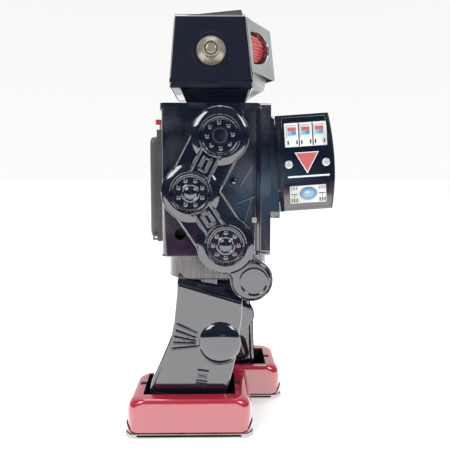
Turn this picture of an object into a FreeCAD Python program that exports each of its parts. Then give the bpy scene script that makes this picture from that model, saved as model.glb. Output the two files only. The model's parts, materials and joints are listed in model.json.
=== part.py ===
import FreeCAD, Part
import math
import os

import Sketcher

# Battery-driven tin robot, standing, facing +X with its right side towards -Y. Millimetres.

V = FreeCAD.Vector
X = V(1, 0, 0)
Y = V(0, 1, 0)
Z = V(0, 0, 1)

doc = FreeCAD.newDocument("tin_robot")

SIZES = {
    # placement of the whole robot: its box is centred on the origin
    "frame_shift": -10.095,
    "sheet": 0.8,
    # waist and swivel
    "turn_axis_x": 2, "waist_half_long": 36, "waist_half_wide": 35, "waist_corner": 24,
    "waist_low": 106, "waist_top": 117, "band_gap": 1,
    "post_radius": 6, "hip_x": -3.4, "hip_height": 110, "hip_axle_radius": 2, "axle_end": 34,
    # drive
    "crank_drop": 16, "crank_throw": 2.25, "crank_pin_radius": 1.5, "gear_thick": 3,
    "coarse_module": 0.7, "fine_module": 0.5, "cheek_y": 9, "gear_shaft_radius": 1.2,
    # torso
    "torso_back": -35.7, "torso_front": 29.1, "torso_half": 46, "torso_low": 124.4, "torso_top": 222.8,
    "lid_top": 227, "lid_lip": 0.9, "torso_corner": 4, "cover_front": 37.4,
    "bezel_half": 40, "bezel_low": 148.5, "bezel_top": 219.5, "bezel_front_low": 44.9,
    "bezel_front_top": 39.9,
    "hole_x": -23.3, "hole_z": 139.4, "hole_radius": 3.8,
    # doors
    "door_tilt": 4, "door_hinge_x": 44.2, "door_hinge_y": 39.4, "door_hinge_z": 186.6,
    "door_height": 65, "door_side": 34.4, "door_bulge": 37.2, "knuckle_radius": 1.6, "pin_radius": 0.8,
    # head
    "neck_low": 227, "neck_top": 238.6, "head_half": 35, "head_low": 238.6, "head_fold": 242.4,
    "head_top": 288, "head_back_low": -31.2, "head_front_low": 26.2, "head_back_top": -27.6,
    "head_front_top": 21.4, "cap_top": 293, "prow_low": 45.2, "prow_top": 41.2, "chin_front": 38.2,
    "chin_top": 249.5, "eye_height": 268.4, "eye_half": 11.2, "eye_reach": 20.1, "eye_straight": 8.6,
    "eye_arc_back": 5.4, "eye_across": 18.5,
    "ear_x": -2.5, "ear_z": 263.5, "ear_radius": 9.9, "ear_length": 7.5,
    # batteries on the back
    "case_back": -39.6, "case_low": 133.5, "case_high": 210, "case_half": 37.5, "cell_radius": 16.6,
    "cell_length": 61.5, "lid_back": -45, "lid_low": 135.4, "lid_high": 205.6, "lid_half": 35,
    "switch_z": 218.2,
    # arms
    "shoulder_x": 3.4, "shoulder_z": 205, "arm_y": 51.6, "arm_depth": 5.2, "disc_radius": 19.2,
    "disc_inner": 12.3, "bump_circle": 8.6, "hub_ring": 6.4, "hand_radius": 14.1, "shoulder_pin": 3,
    # legs
    "leg_out": 38, "leg_in": 12.6, "knee_radius": 14.7,
    "ankle_height": 16, "ankle_pin": 1.5,
    # shoes
    "shoe_in": 4, "shoe_out": 51, "shoe_back": -44.5, "shoe_front": 42, "shoe_top": 26.6, "sole_low": 0.5,
    "sole_top": 3, "roller_radius": 4, "roller_front": 27, "roller_back": -29, "roller_pin": 1.2,
}


class Size:
    """A length that carries its value and the spreadsheet expression behind it."""

    def __init__(self, value, text):
        self.value = float(value)
        self.text = text

    def __float__(self):
        return self.value

    def __add__(self, other):
        return Size(self.value + float(other), f"({self.text} + {written(other)})")

    def __radd__(self, other):
        return Size(float(other) + self.value, f"({written(other)} + {self.text})")

    def __sub__(self, other):
        return Size(self.value - float(other), f"({self.text} - {written(other)})")

    def __rsub__(self, other):
        return Size(float(other) - self.value, f"({written(other)} - {self.text})")

    def __mul__(self, other):
        return Size(self.value * float(other), f"({self.text} * {written(other)})")

    __rmul__ = __mul__

    def __truediv__(self, other):
        return Size(self.value / float(other), f"({self.text} / {written(other)})")

    def __neg__(self):
        return Size(-self.value, f"(-{self.text})")


def written(number):
    """The expression of a length, or a plain number in brackets."""
    return number.text if isinstance(number, Size) else f"({float(number):.6g})"


def fill_sheet():
    """Write the driving dimensions to the spreadsheet and return them as named lengths."""
    sheet = doc.addObject("Spreadsheet::Sheet", "Sizes")
    lengths = {}
    for row, (alias, value) in enumerate(SIZES.items(), start=1):
        sheet.set(f"A{row}", alias)
        sheet.set(f"B{row}", str(value))
        sheet.setAlias(f"B{row}", alias)
        lengths[alias] = Size(value, f"Sizes.{alias}")
    doc.recompute()
    return lengths


S = fill_sheet()
NODES = []


def bind(item, name, size):
    """Set a property from a length, by expression where the length has one."""
    if isinstance(size, Size):
        item.setExpression(name, size.text)
    else:
        item.setExpression(name, f"{float(size):.6g}")


def node(item, label, x=0, y=0, z=0, turn=None):
    """Name a sub-part and put it in the robot's frame."""
    if item.TypeId in ("Part::Box", "Part::Cylinder"):
        item = group(item)
    item.Label = label
    base = V(float(x) + float(S["frame_shift"]), float(y), float(z))
    item.Placement = FreeCAD.Placement(base, turn if turn else FreeCAD.Rotation())
    bind(item, "Placement.Base.x", S["frame_shift"] + x)
    NODES.append(item)
    return item


def box(x_from, x_to, y_from, y_to, z_from, z_to):
    """A block between three pairs of limits."""
    item = doc.addObject("Part::Box", "Block")
    for name, low, high in (("Length", x_from, x_to), ("Width", y_from, y_to), ("Height", z_from, z_to)):
        bind(item, name, high - low)
    for axis, low in zip("xyz", (x_from, y_from, z_from)):
        bind(item, f"Placement.Base.{axis}", low)
    return item


def rod(radius, length, x, y, z, along="z"):
    """A cylinder that starts at x, y, z and runs along one axis."""
    item = doc.addObject("Part::Cylinder", "Rod")
    bind(item, "Radius", radius)
    bind(item, "Height", length)
    turns = {"z": FreeCAD.Rotation(), "y": FreeCAD.Rotation(X, -90), "x": FreeCAD.Rotation(Y, 90)}
    item.Placement.Rotation = turns[along]
    for axis, place in zip("xyz", (x, y, z)):
        bind(item, f"Placement.Base.{axis}", place)
    return item


def fuse(*items):
    """One solid from several that touch or overlap."""
    item = doc.addObject("Part::MultiFuse", "Joined")
    item.Shapes = list(items)
    item.Refine = True
    return item


def group(*items):
    """Several separate solids that make one node."""
    item = doc.addObject("Part::Compound", "Group")
    item.Links = list(items)
    return item


def cut(base, *tools):
    """The base without the tools."""
    item = doc.addObject("Part::Cut", "Trimmed")
    item.Base = base
    item.Tool = tools[0] if len(tools) == 1 else fuse(*tools)
    item.Refine = True
    return item


def corner_points(corners):
    """The outline's corners as plain coordinates."""
    return [V(float(x), float(y), 0) for x, y, _ in corners]


def draw(sketch, corners):
    """Draw a closed outline of (x, y, radius) corners, fully constrained to the spreadsheet."""
    points = corner_points(corners)
    count = len(points)
    lines = []
    arcs = {}
    ends = []
    for index, (_, _, radius) in enumerate(corners):
        before = (points[index - 1] - points[index]).normalize()
        after = (points[(index + 1) % count] - points[index]).normalize()
        half = before.getAngle(after) / 2
        reach = float(radius) / math.tan(half) if float(radius) else 0
        ends.append((points[index] + before * reach, points[index] + after * reach, before, after, half))
    for index in range(count):
        start = ends[index][1]
        stop = ends[(index + 1) % count][0]
        lines.append(sketch.addGeometry(Part.LineSegment(start, stop), False))
    for index, (x, y, radius) in enumerate(corners):
        if not float(radius):
            continue
        first, second, before, after, half = ends[index]
        centre = points[index] + (before + after).normalize() * (float(radius) / math.sin(half))
        middle = centre + (points[index] - centre).normalize() * float(radius)
        arc = Part.Arc(first, middle, second)
        arcs[index] = sketch.addGeometry(arc, False)
    for index, (x, y, radius) in enumerate(corners):
        before_line = lines[index - 1]
        after_line = lines[index]
        if index not in arcs:
            sketch.addConstraint(Sketcher.Constraint("Coincident", before_line, 2, after_line, 1))
            place(sketch, after_line, 1, x, y)
            continue
        arc = arcs[index]
        curve = sketch.Geometry[arc]
        starts_first = curve.StartPoint.distanceToPoint(ends[index][0]) < 1e-6
        near, far = (1, 2) if starts_first else (2, 1)
        sketch.addConstraint(Sketcher.Constraint("Tangent", before_line, 2, arc, near))
        sketch.addConstraint(Sketcher.Constraint("Tangent", arc, far, after_line, 1))
        corner = sketch.addGeometry(Part.Point(points[index]), True)
        place(sketch, corner, 1, x, y)
        sketch.addConstraint(Sketcher.Constraint("PointOnObject", corner, 1, before_line))
        sketch.addConstraint(Sketcher.Constraint("PointOnObject", corner, 1, after_line))
        tie(sketch, Sketcher.Constraint("Radius", arc, float(radius)), radius)


def tie(sketch, constraint, size):
    """Add a dimension whose value follows a length."""
    index = sketch.addConstraint(constraint)
    bind(sketch, f"Constraints[{index}]", size)


def place(sketch, geometry, point, x, y):
    """Fix a sketch point by its distances from the sketch's origin."""
    tie(sketch, Sketcher.Constraint("DistanceX", -1, 1, geometry, point, float(x)), x)
    tie(sketch, Sketcher.Constraint("DistanceY", -1, 1, geometry, point, float(y)), y)


def rectangle(x_from, x_to, y_from, y_to, radius=0):
    """Corners of an upright rectangle."""
    return [(x_from, y_from, radius), (x_to, y_from, radius), (x_to, y_to, radius), (x_from, y_to, radius)]


PLANES = {"XY": "XY_Plane", "XZ": "XZ_Plane", "YZ": "YZ_Plane"}


def sketch_on(body, plane, offset=0):
    """A sketch on one of the body's own origin planes, moved along the plane's normal."""
    sketch = body.newObject("Sketcher::SketchObject", "Outline")
    origin_plane = [item for item in body.Origin.OriginFeatures if item.Role == PLANES[plane]][0]
    sketch.AttachmentSupport = [(origin_plane, "")]
    sketch.MapMode = "FlatFace"
    bind(sketch, "AttachmentOffset.Base.z", offset)
    return sketch


def disc_on(sketch, x, y, radius):
    """Draw a circle in a sketch."""
    circle = sketch.addGeometry(Part.Circle(V(float(x), float(y), 0), Z, float(radius)), False)
    place(sketch, circle, 3, x, y)
    tie(sketch, Sketcher.Constraint("Radius", circle, float(radius)), radius)


def pad(body, plane, offset, length, outlines=(), discs=()):
    """Add a pad of closed outlines and circles; offset and length follow the plane's normal."""
    sketch = sketch_on(body, plane, offset)
    for corners in outlines:
        draw(sketch, corners)
    for x, y, radius in discs:
        disc_on(sketch, x, y, radius)
    feature = body.newObject("PartDesign::Pad", "Pad")
    feature.Profile = sketch
    bind(feature, "Length", length)
    return feature


def pocket(body, plane, offset, length, outlines=(), discs=()):
    """Cut outlines and circles out of the body, from the offset along the plane's normal."""
    sketch = sketch_on(body, plane, offset)
    for corners in outlines:
        draw(sketch, corners)
    for x, y, radius in discs:
        disc_on(sketch, x, y, radius)
    feature = body.newObject("PartDesign::Pocket", "Pocket")
    feature.Profile = sketch
    feature.Reversed = True
    bind(feature, "Length", length)
    return feature


def new_body():
    """An empty body."""
    return doc.addObject("PartDesign::Body", "Body")


def loft_body(outer, inner=()):
    """A body lofted through (height, corners) sections, less a loft through the inner sections."""
    body = new_body()
    for kind, sections in (("PartDesign::AdditiveLoft", outer), ("PartDesign::SubtractiveLoft", inner)):
        if not sections:
            continue
        sketches = []
        for height, corners in sections:
            sketch = sketch_on(body, "XY", height)
            draw(sketch, corners)
            sketches.append(sketch)
        loft = body.newObject(kind, "Loft")
        loft.Profile = sketches[0]
        loft.Sections = sketches[1:]
        loft.Ruled = True
    return body


def shaped(shape, label, x=0, y=0, z=0, turn=None):
    """A sub-part whose surface needs Part's own functions."""
    item = doc.addObject("Part::Feature", "Form")
    item.Shape = shape
    return node(item, label, x, y, z, turn)


def side_name(side):
    """The robot's own right is -Y."""
    return "right" if side < 0 else "left"


def span(side, near, far):
    """Limits along Y for a stretch between two distances from the middle, on one side."""
    return (side * far, side * near) if side < 0 else (near * side, far * side)


# ---- waist ----------------------------------------------------------------------------------

def waist():
    """Rounded band round the hips, with a turned-in foot, and the deck the torso turns on."""
    wall = S["sheet"]
    middle = S["turn_axis_x"]
    long, wide, corner = S["waist_half_long"], S["waist_half_wide"], S["waist_corner"]
    outer = rectangle(middle - long, middle + long, -wide, wide, corner)
    inner = rectangle(middle - long + wall, middle + long - wall, wall - wide, wide - wall, corner - wall)
    body = new_body()
    pad(body, "XY", S["waist_low"], S["torso_low"] - S["band_gap"] - S["waist_low"], [outer, inner])
    node(body, "waist_band")
    deck = new_body()
    shrink = wall + 0.05
    plate = rectangle(middle - long + shrink, middle + long - shrink, shrink - wide, wide - shrink,
                      corner - shrink)
    pad(deck, "XY", S["waist_top"] - wall, wall, [plate], [(middle, 0, S["post_radius"])])
    node(deck, "waist_deck")
    height = S["torso_low"] + 6 - S["waist_top"] + wall
    foot = S["waist_top"] - wall
    post = fuse(rod(S["post_radius"], height, middle, 0, foot),
                rod(S["post_radius"] + 3, S["torso_low"] - S["waist_top"] - 0.3, middle, 0, foot + wall),
                rod(S["post_radius"] + 3, 1.5, middle, 0, foot + height))
    node(cut(post, rod(3, height + 4, middle, 0, foot - 1)), "swivel_post")


def hip_hardware():
    """The axle both legs hang on, two cheeks that hang from the deck, and their spacers."""
    axle_end = S["axle_end"]
    axle = rod(S["hip_axle_radius"], axle_end * 2, S["hip_x"], -axle_end, S["hip_height"], "y")
    node(axle, "hip_axle")
    crank_z = S["hip_height"] - S["crank_drop"]
    for side in (-1, 1):
        low, high = span(side, S["cheek_y"], S["cheek_y"] + 1)
        sheet_top = S["waist_top"] - S["sheet"]
        plate = box(S["hip_x"] - 9, S["hip_x"] + 30, low, high, crank_z - 5, sheet_top)
        holes = [rod(S["hip_axle_radius"], 4, S["hip_x"], low - 1.5, S["hip_height"], "y"),
                 rod(S["gear_shaft_radius"] + 0.05, 4, S["hip_x"], low - 1.5, crank_z, "y"),
                 rod(S["gear_shaft_radius"] + 0.05, 4, IDLER[0], low - 1.5, IDLER[1], "y"),
                 rod(2.5, 4, MOTOR[0], low - 1.5, MOTOR[1], "y")]
        node(cut(plate, *holes), f"{side_name(side)}_gearbox_cheek")
    cheek = S["cheek_y"]
    spacers = [rod(1.5, cheek * 2, S["hip_x"] + across, -cheek, S["hip_height"] + height, "y")
               for across, height in ((-7.2, 2.2), (28, -19), (28, 3))]
    node(group(*spacers), "gearbox_spacers")


def gear_section(teeth, module, turned):
    """Closed outline of a spur gear: straight-flanked teeth with room between them."""
    pitch = teeth * module / 2
    root = pitch - 1.2 * module
    tip = pitch + 0.85 * module
    step = 2 * math.pi / teeth
    widths = ((root, 0.33), (pitch, 0.225), (tip, 0.10))
    points = []
    for tooth in range(teeth):
        middle = turned + tooth * step
        flank = [(radius, middle - step * share) for radius, share in widths]
        flank += [(radius, middle + step * share) for radius, share in reversed(widths)]
        points += [V(radius * math.cos(angle), 0, radius * math.sin(angle)) for radius, angle in flank]
    return Part.Face(Part.makePolygon(points + points[:1]))


def gear(teeth, module, low, thick, turned=0.0, bore=0.0):
    """A spur gear on the Y axis from low to low + thick."""
    face = gear_section(teeth, module, turned)
    face.translate(V(0, low, 0))
    solid = face.extrude(V(0, thick, 0))
    if bore:
        solid = solid.cut(Part.makeCylinder(bore, thick + 2, V(0, low - 1, 0), Y))
    return solid


CRANK_TEETH, PINION_TEETH, WHEEL_TEETH, MOTOR_TEETH = 34, 10, 36, 10
COARSE = SIZES["coarse_module"]
FINE = SIZES["fine_module"]
CRANK_Z = SIZES["hip_height"] - SIZES["crank_drop"]
FIRST_ANGLE = math.radians(33)
SECOND_ANGLE = math.radians(40)
FIRST_REACH = (CRANK_TEETH + PINION_TEETH) * COARSE / 2
SECOND_REACH = (WHEEL_TEETH + MOTOR_TEETH) * FINE / 2
IDLER = (SIZES["hip_x"] + FIRST_REACH * math.cos(FIRST_ANGLE), CRANK_Z + FIRST_REACH * math.sin(FIRST_ANGLE))
MOTOR = (IDLER[0] + SECOND_REACH * math.cos(SECOND_ANGLE), IDLER[1] + SECOND_REACH * math.sin(SECOND_ANGLE))


def meshing(angle, driver_teeth, driven_teeth):
    """Turn of the driven gear that puts a gap where a driver tooth points along the centre line."""
    driver_phase = (angle / (2 * math.pi / driver_teeth)) % 1
    return angle + math.pi + (0.5 - (-driver_phase)) * 2 * math.pi / driven_teeth


def drive():
    """Motor, two reduction stages and the crankshaft, all on axes across the robot."""
    shaft = float(S["gear_shaft_radius"])
    cheek = float(S["cheek_y"])
    thick = float(S["gear_thick"])
    crank_gear = gear(CRANK_TEETH, COARSE, -thick / 2, thick, 0.0, shaft)
    shaped(crank_gear, "crank_gear", S["hip_x"], 0, CRANK_Z)
    throw = float(S["crank_throw"])
    reach = float(S["leg_in"]) + 4.5
    web = cheek + 1.3
    parts = [Part.makeCylinder(shaft, 2 * web + 0.4, V(0, -web - 0.2, 0), Y)]
    for side in (-1, 1):
        start = min(side * web, side * (web + 1.2))
        parts.append(Part.makeCylinder(throw + 2.2, 1.2, V(0, start, 0), Y))
        pin_start = min(side * web, side * reach)
        pin = Part.makeCylinder(float(S["crank_pin_radius"]), reach - web, V(side * throw, pin_start, 0), Y)
        parts.append(pin)
    shaped(parts[0].multiFuse(parts[1:]), "crankshaft", S["hip_x"], 0, CRANK_Z)
    phase = meshing(FIRST_ANGLE, CRANK_TEETH, PINION_TEETH)
    pinion = gear(PINION_TEETH, COARSE, -thick / 2 - 0.5, thick + 1, phase)
    wheel = gear(WHEEL_TEETH, FINE, 3, thick - 1)
    idler_shaft = Part.makeCylinder(shaft, 2 * cheek + 2, V(0, -cheek - 1, 0), Y)
    sleeve = Part.makeCylinder(2, 2, V(0, 1.5, 0), Y)
    shaped(wheel.multiFuse([pinion, idler_shaft, sleeve]), "idler_gear", IDLER[0], 0, IDLER[1])
    motor_phase = meshing(SECOND_ANGLE, WHEEL_TEETH, MOTOR_TEETH)
    motor_gear = gear(MOTOR_TEETH, FINE, 2.5, thick, motor_phase)
    motor_shaft = Part.makeCylinder(1, cheek + 3.8 - 2.5, V(0, 2.5, 0), Y)
    shaped(motor_gear.fuse(motor_shaft), "motor_pinion", MOTOR[0], 0, MOTOR[1])
    start = cheek + 1
    can = box(MOTOR[0] - 7.5, MOTOR[0] + 7.5, start, start + 20, MOTOR[1] - 6, MOTOR[1] + 6)
    bore = rod(1.05, 5, MOTOR[0], start - 1, MOTOR[1], "y")
    node(cut(can, bore), "motor_can")


# ---- torso ----------------------------------------------------------------------------------

def torso_shell():
    """Black tin body: an open tube with a hole low in each side and a window in front and back."""
    wall = S["sheet"]
    back, front, half, corner = S["torso_back"], S["torso_front"], S["torso_half"], S["torso_corner"]
    body = new_body()
    outer = rectangle(back, front, -half, half, corner)
    inner = rectangle(back + wall, front - wall, wall - half, half - wall, corner - wall)
    pad(body, "XY", S["torso_low"], S["lid_top"] - wall - 0.1 - S["torso_low"], [outer, inner])
    reach = half * 2 + 10
    pocket(body, "XZ", -(half + 5), reach, discs=[(S["hole_x"], S["hole_z"], S["hole_radius"]),
                                                  (S["shoulder_x"], S["shoulder_z"], S["shoulder_pin"])])
    bay = rectangle(-33.5, 33.5, S["lid_low"] + 1.5, S["lid_high"] - 1.5)
    pocket(body, "YZ", back - 5, 10, [bay])
    chest = rectangle(-35, 35, S["bezel_low"] + 4.5, S["bezel_top"] - 5)
    pocket(body, "YZ", front - 5, 10, [chest])
    node(body, "body_shell")
    lid = new_body()
    lip = S["lid_lip"]
    outer = rectangle(back - lip, front + 0.9, -half - lip, half + lip, corner)
    pad(lid, "XY", S["torso_top"], S["lid_top"] - S["torso_top"], [outer])
    under = rectangle(back - 0.05, front + 0.05, -half - 0.05, half + 0.05, corner)
    pocket(lid, "XY", S["torso_top"] - 1, 1 + S["lid_top"] - wall - S["torso_top"], [under])
    node(lid, "top_plate")
    floor = new_body()
    gap = wall + 0.05
    plate = rectangle(back + gap, front - gap, gap - half, half - gap, corner - gap)
    pad(floor, "XY", S["torso_low"] + 0.2, wall, [plate],
        [(S["turn_axis_x"], 0, S["post_radius"] + 0.05)])
    node(floor, "floor_plate")


def chest_front():
    """Pressed front cover, its sloping bezel round the door opening, and the panel behind."""
    half, corner = S["torso_half"], S["torso_corner"]
    body = new_body()
    front = S["torso_front"]
    start = front + 1
    outer = rectangle(-half, half, S["torso_low"], S["lid_top"] + 0.3, corner)
    window = rectangle(-35, 35, S["bezel_low"] + 4.5, S["bezel_top"] - 5, 1)
    pad(body, "YZ", start, S["cover_front"] - start, [outer, window])
    hollow = rectangle(-half + 1, half - 1, S["torso_low"] + 1, S["lid_top"] - 0.7, corner - 1)
    rim = rectangle(-36, 36, S["bezel_low"] + 3.5, S["bezel_top"] - 4, 1)
    pocket(body, "YZ", start - 1, S["cover_front"] - start, [hollow, rim])
    node(body, "front_cover")
    wide = float(S["bezel_half"])
    low, top = float(S["bezel_low"]), float(S["bezel_top"])
    start = float(S["cover_front"])
    side = [V(start, -wide, low), V(float(S["bezel_front_low"]), -wide, low),
            V(float(S["bezel_front_top"]), -wide, top), V(start, -wide, top)]
    wedge = Part.Face(Part.makePolygon(side + side[:1])).extrude(V(0, 2 * wide, 0))
    corners = [edge for edge in wedge.Edges if abs(edge.tangentAt(edge.FirstParameter).x) > 0.99]
    wedge = wedge.makeFillet(6, corners)
    opening = Part.makeBox(30, 70, top - low - 9.5, V(start - 5, -35, low + 4.5))
    back = [point - V(1, 0, 0) for point in side]
    hollow = Part.Face(Part.makePolygon(back + back[:1])).extrude(V(0, 2 * wide, 0))
    hollow = hollow.common(Part.makeBox(60, 2 * wide - 2, top - low - 2, V(start - 5, 1 - wide, low + 1)))
    hollow = hollow.cut(Part.makeBox(60, 72, top - low - 7.5, V(start - 5, -36, low + 3.5)))
    bezel = wedge.cut(hollow).cut(opening)
    lugs = [hinge_lug(hand) for hand in (-1, 1)]
    pins = [hinge_rod(hand, float(S["pin_radius"]), 0.5) for hand in (-1, 1)]
    bezel = bezel.multiFuse(lugs).cut(pins[0]).cut(pins[1])
    shaped(bezel.removeSplitter(), "chest_bezel")
    panel = box(front - 4, front - 3, -34.8, 34.8, S["bezel_low"] + 4.7, S["bezel_top"] - 5.2)
    slots = [rod(4.2, 4, front - 6, across, height, "x") for across in GUN_ACROSS for height in GUN_HEIGHTS]
    slots.append(rod(4.6, 4, front - 6, 0, LAMP_Z, "x"))
    node(cut(panel, *slots), "chest_panel")


GUN_ACROSS = (-16, 16)
GUN_HEIGHTS = (170, 186)
LAMP_Z = 204
GUN_REACH = 55
GUN_STROKE = 14


def guns():
    """Four barrels on one cross plate that slides out as the doors open, and the chest lamp."""
    front = S["torso_front"]
    bars = [box(front - 22, front - 19, -22, 22, GUN_HEIGHTS[0] - 5, GUN_HEIGHTS[1] + 5)]
    for across in GUN_ACROSS:
        for height in GUN_HEIGHTS:
            bars.append(rod(3.4, GUN_REACH - front + 20, front - 20, across, height, "x"))
            bars.append(rod(4.0, 6, GUN_REACH - 16, across, height, "x"))
    muzzles = [rod(1.6, 10, GUN_REACH - 8, across, height, "x")
               for across in GUN_ACROSS for height in GUN_HEIGHTS]
    node(cut(fuse(*bars), *muzzles), "gun_carriage")
    lamp = fuse(rod(4.4, 8, front - 8, 0, LAMP_Z, "x"), rod(3.6, 3, front - 0.5, 0, LAMP_Z, "x"))
    node(lamp, "chest_lamp")


def door_turn():
    """The door line leans back at the top."""
    return FreeCAD.Rotation(Y, -float(S["door_tilt"]))


def on_hinge(shape, side):
    """Move a shape drawn about a hinge line to its place on the chest."""
    base = V(float(S["door_hinge_x"]), side * float(S["door_hinge_y"]), float(S["door_hinge_z"]))
    shape.Placement = FreeCAD.Placement(base, door_turn()).multiply(shape.Placement)
    return shape


def hinge_rod(side, radius, margin):
    """The straight rod along one hinge line."""
    tall = float(S["door_height"]) / 2 + margin
    return on_hinge(Part.makeCylinder(radius, 2 * tall, V(0, 0, -tall)), side)


def hinge_lug(side):
    """Rolled lug between the door's two knuckles, strapped to the bezel."""
    outer = float(S["knuckle_radius"])
    length = float(S["door_height"]) - 28.6
    lug = Part.makeCylinder(outer, length, V(0, 0, -length / 2))
    strap = Part.makeBox(2.8, 1.2, length - 4, V(-2.8, -0.6 - side * 0.6, 2 - length / 2))
    return on_hinge(lug.fuse(strap), side)


def doors():
    """Bulged-edge doors on pins; local u runs forward from the pin, w runs up along it."""
    half_height = S["door_height"] / 2
    outer, pin = float(S["knuckle_radius"]), float(S["pin_radius"])
    tall = float(half_height)
    for side in (-1, 1):
        plate_low, plate_high = sorted((side * outer, side * (outer - float(S["sheet"]))))
        bulge = float(S["door_bulge"])
        edge = float(S["door_side"])
        corners = [V(0.3, 0, -tall), V(edge, 0, -tall), V(edge, 0, tall), V(0.3, 0, tall)]
        rim = Part.Arc(corners[1], V(bulge, 0, 0), corners[2]).toShape()
        wire = Part.Wire([Part.makeLine(corners[3], corners[0]), Part.makeLine(corners[0], corners[1]), rim,
                          Part.makeLine(corners[2], corners[3])])
        face = Part.Face(wire)
        face.translate(V(0, plate_low, 0))
        plate = face.extrude(V(0, plate_high - plate_low, 0))
        tubes = [Part.makeCylinder(outer, 14, V(0, 0, low)) for low in (-tall, tall - 14)]
        clear = Part.makeCylinder(outer + 0.25, 2 * tall - 27.4, V(0, 0, 13.7 - tall))
        door = plate.cut(clear).multiFuse(tubes)
        door = door.cut(Part.makeCylinder(pin + 0.05, 2 * tall + 2, V(0, 0, -tall - 1)))
        rivets = [Part.makeCylinder(2.7, 0.5, V(across, side * outer, -0.75), V(0, side, 0))
                  for across in (5.9, 31.3)]
        door = door.multiFuse(rivets).removeSplitter()
        hinge_y = side * float(S["door_hinge_y"])
        name = side_name(side)
        shaped(door, f"{name}_door", S["door_hinge_x"], hinge_y, S["door_hinge_z"], door_turn())
        pin_rod = Part.makeCylinder(pin, 2 * tall, V(0, 0, -tall))
        shaped(pin_rod, f"{name}_hinge_pin", S["door_hinge_x"], hinge_y, S["door_hinge_z"], door_turn())


# ---- back -----------------------------------------------------------------------------------

def battery_bay():
    """Moulded case let into the back, two cells, their contacts and the hinged lid."""
    back, face = S["torso_back"], S["case_back"]
    low, high, half = S["case_low"], S["case_high"], S["case_half"]
    frame = box(face, back, -half, half, low, high)
    mouth = box(face - 1, back + 1, -33, 33, S["lid_low"] + 2.2, S["lid_high"] - 2.2)
    tub = box(back, back + 27, -33.4, 33.4, S["lid_low"] + 1.6, S["lid_high"] - 1.6)
    hollow = box(face - 1, back + 26, -32.4, 32.4, S["lid_low"] + 2.6, S["lid_high"] - 2.6)
    ears = [box(face - 3.2, face, middle - 1.05, middle + 1.05, S["lid_low"] - 1, S["lid_low"] + 3.2)
            for middle in (-36.45, 36.45)]
    bore = rod(1.25, 80, face - 1.4, -40, S["lid_low"] + 1.2, "y")
    node(cut(fuse(frame, tub, *ears), mouth, hollow, bore), "battery_case")
    radius, length = S["cell_radius"] - 0.6, S["cell_length"]
    centre = back + 8.4
    for side in (-1, 1):
        cell = fuse(rod(radius, length, centre, side * 16.1, S["lid_low"] + 3.2),
                    rod(4, 1.6, centre, side * 16.1, S["lid_low"] + length + 3.2))
        node(cell, f"{side_name(side)}_battery")
    plates = [box(centre - 8, centre + 8, -24, 24, S["lid_low"] + 2.6, S["lid_low"] + 3.1),
              box(centre - 6, centre + 6, -22, -10, S["lid_high"] - 3.1, S["lid_high"] - 2.6),
              box(centre - 6, centre + 6, 10, 22, S["lid_high"] - 3.1, S["lid_high"] - 2.6)]
    node(group(*plates), "battery_contacts")


def battery_cover():
    """Shallow moulded lid over the cells, hinged on two stubs at its foot, with a thumb latch on top."""
    low, high, half = S["lid_low"], S["lid_high"], S["lid_half"]
    face = S["case_back"]
    body = new_body()
    pad(body, "YZ", S["lid_back"], face - 0.1 - S["lid_back"], [rectangle(-half, half, low, high, 5)])
    inside = rectangle(-half + 1.4, half - 1.4, low + 1.4, high - 1.4, 3.6)
    pocket(body, "YZ", S["lid_back"] + 1.4, 10, [inside])
    foot = [(face + 0.1, low - 0.1, 0), (face + 0.1, low + 1.4, 0), (face - 1.5, low - 0.1, 0)]
    pocket(body, "XZ", -half - 1, half * 2 + 2, [foot])
    pad(body, "XZ", -half - 1.3, half * 2 + 2.6, discs=[(face - 1.4, low + 1.2, 1.2)])
    node(body, "battery_cover")


def switch():
    """Slide switch above the lid: a plate with two guard rails and a red lever that drops between them."""
    face, height = S["torso_back"], S["switch_z"]
    plate = box(face - 0.8, face, -8, 8, height - 7.6, height + 4)
    rails = [box(face - 6, face - 0.7, low, low + 1.2, height - 6.6, height - 2.1) for low in (-4.2, 3)]
    slot = box(face - 3, face + 3, -1.6, 1.6, height - 6, height + 2.2)
    node(cut(fuse(plate, *rails), slot), "switch_plate")
    lever = fuse(box(face - 9, face - 5.2, -2.5, 2.5, height - 2, height + 2),
                 box(face - 5.3, face - 0.1, -1.4, 1.4, height - 1.6, height + 1.6))
    node(lever, "switch_lever")


# ---- head -----------------------------------------------------------------------------------

def head_corners(share, inset=0.0):
    """Plan of the head at a share of its height from the fold to the top, drawn in by an inset."""
    back = S["head_back_low"] + (S["head_back_top"] - S["head_back_low"]) * share + inset
    front = S["head_front_low"] + (S["head_front_top"] - S["head_front_low"]) * share - inset
    half = S["head_half"] - 2 * share - inset
    return rectangle(back, front, -half, half)


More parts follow.
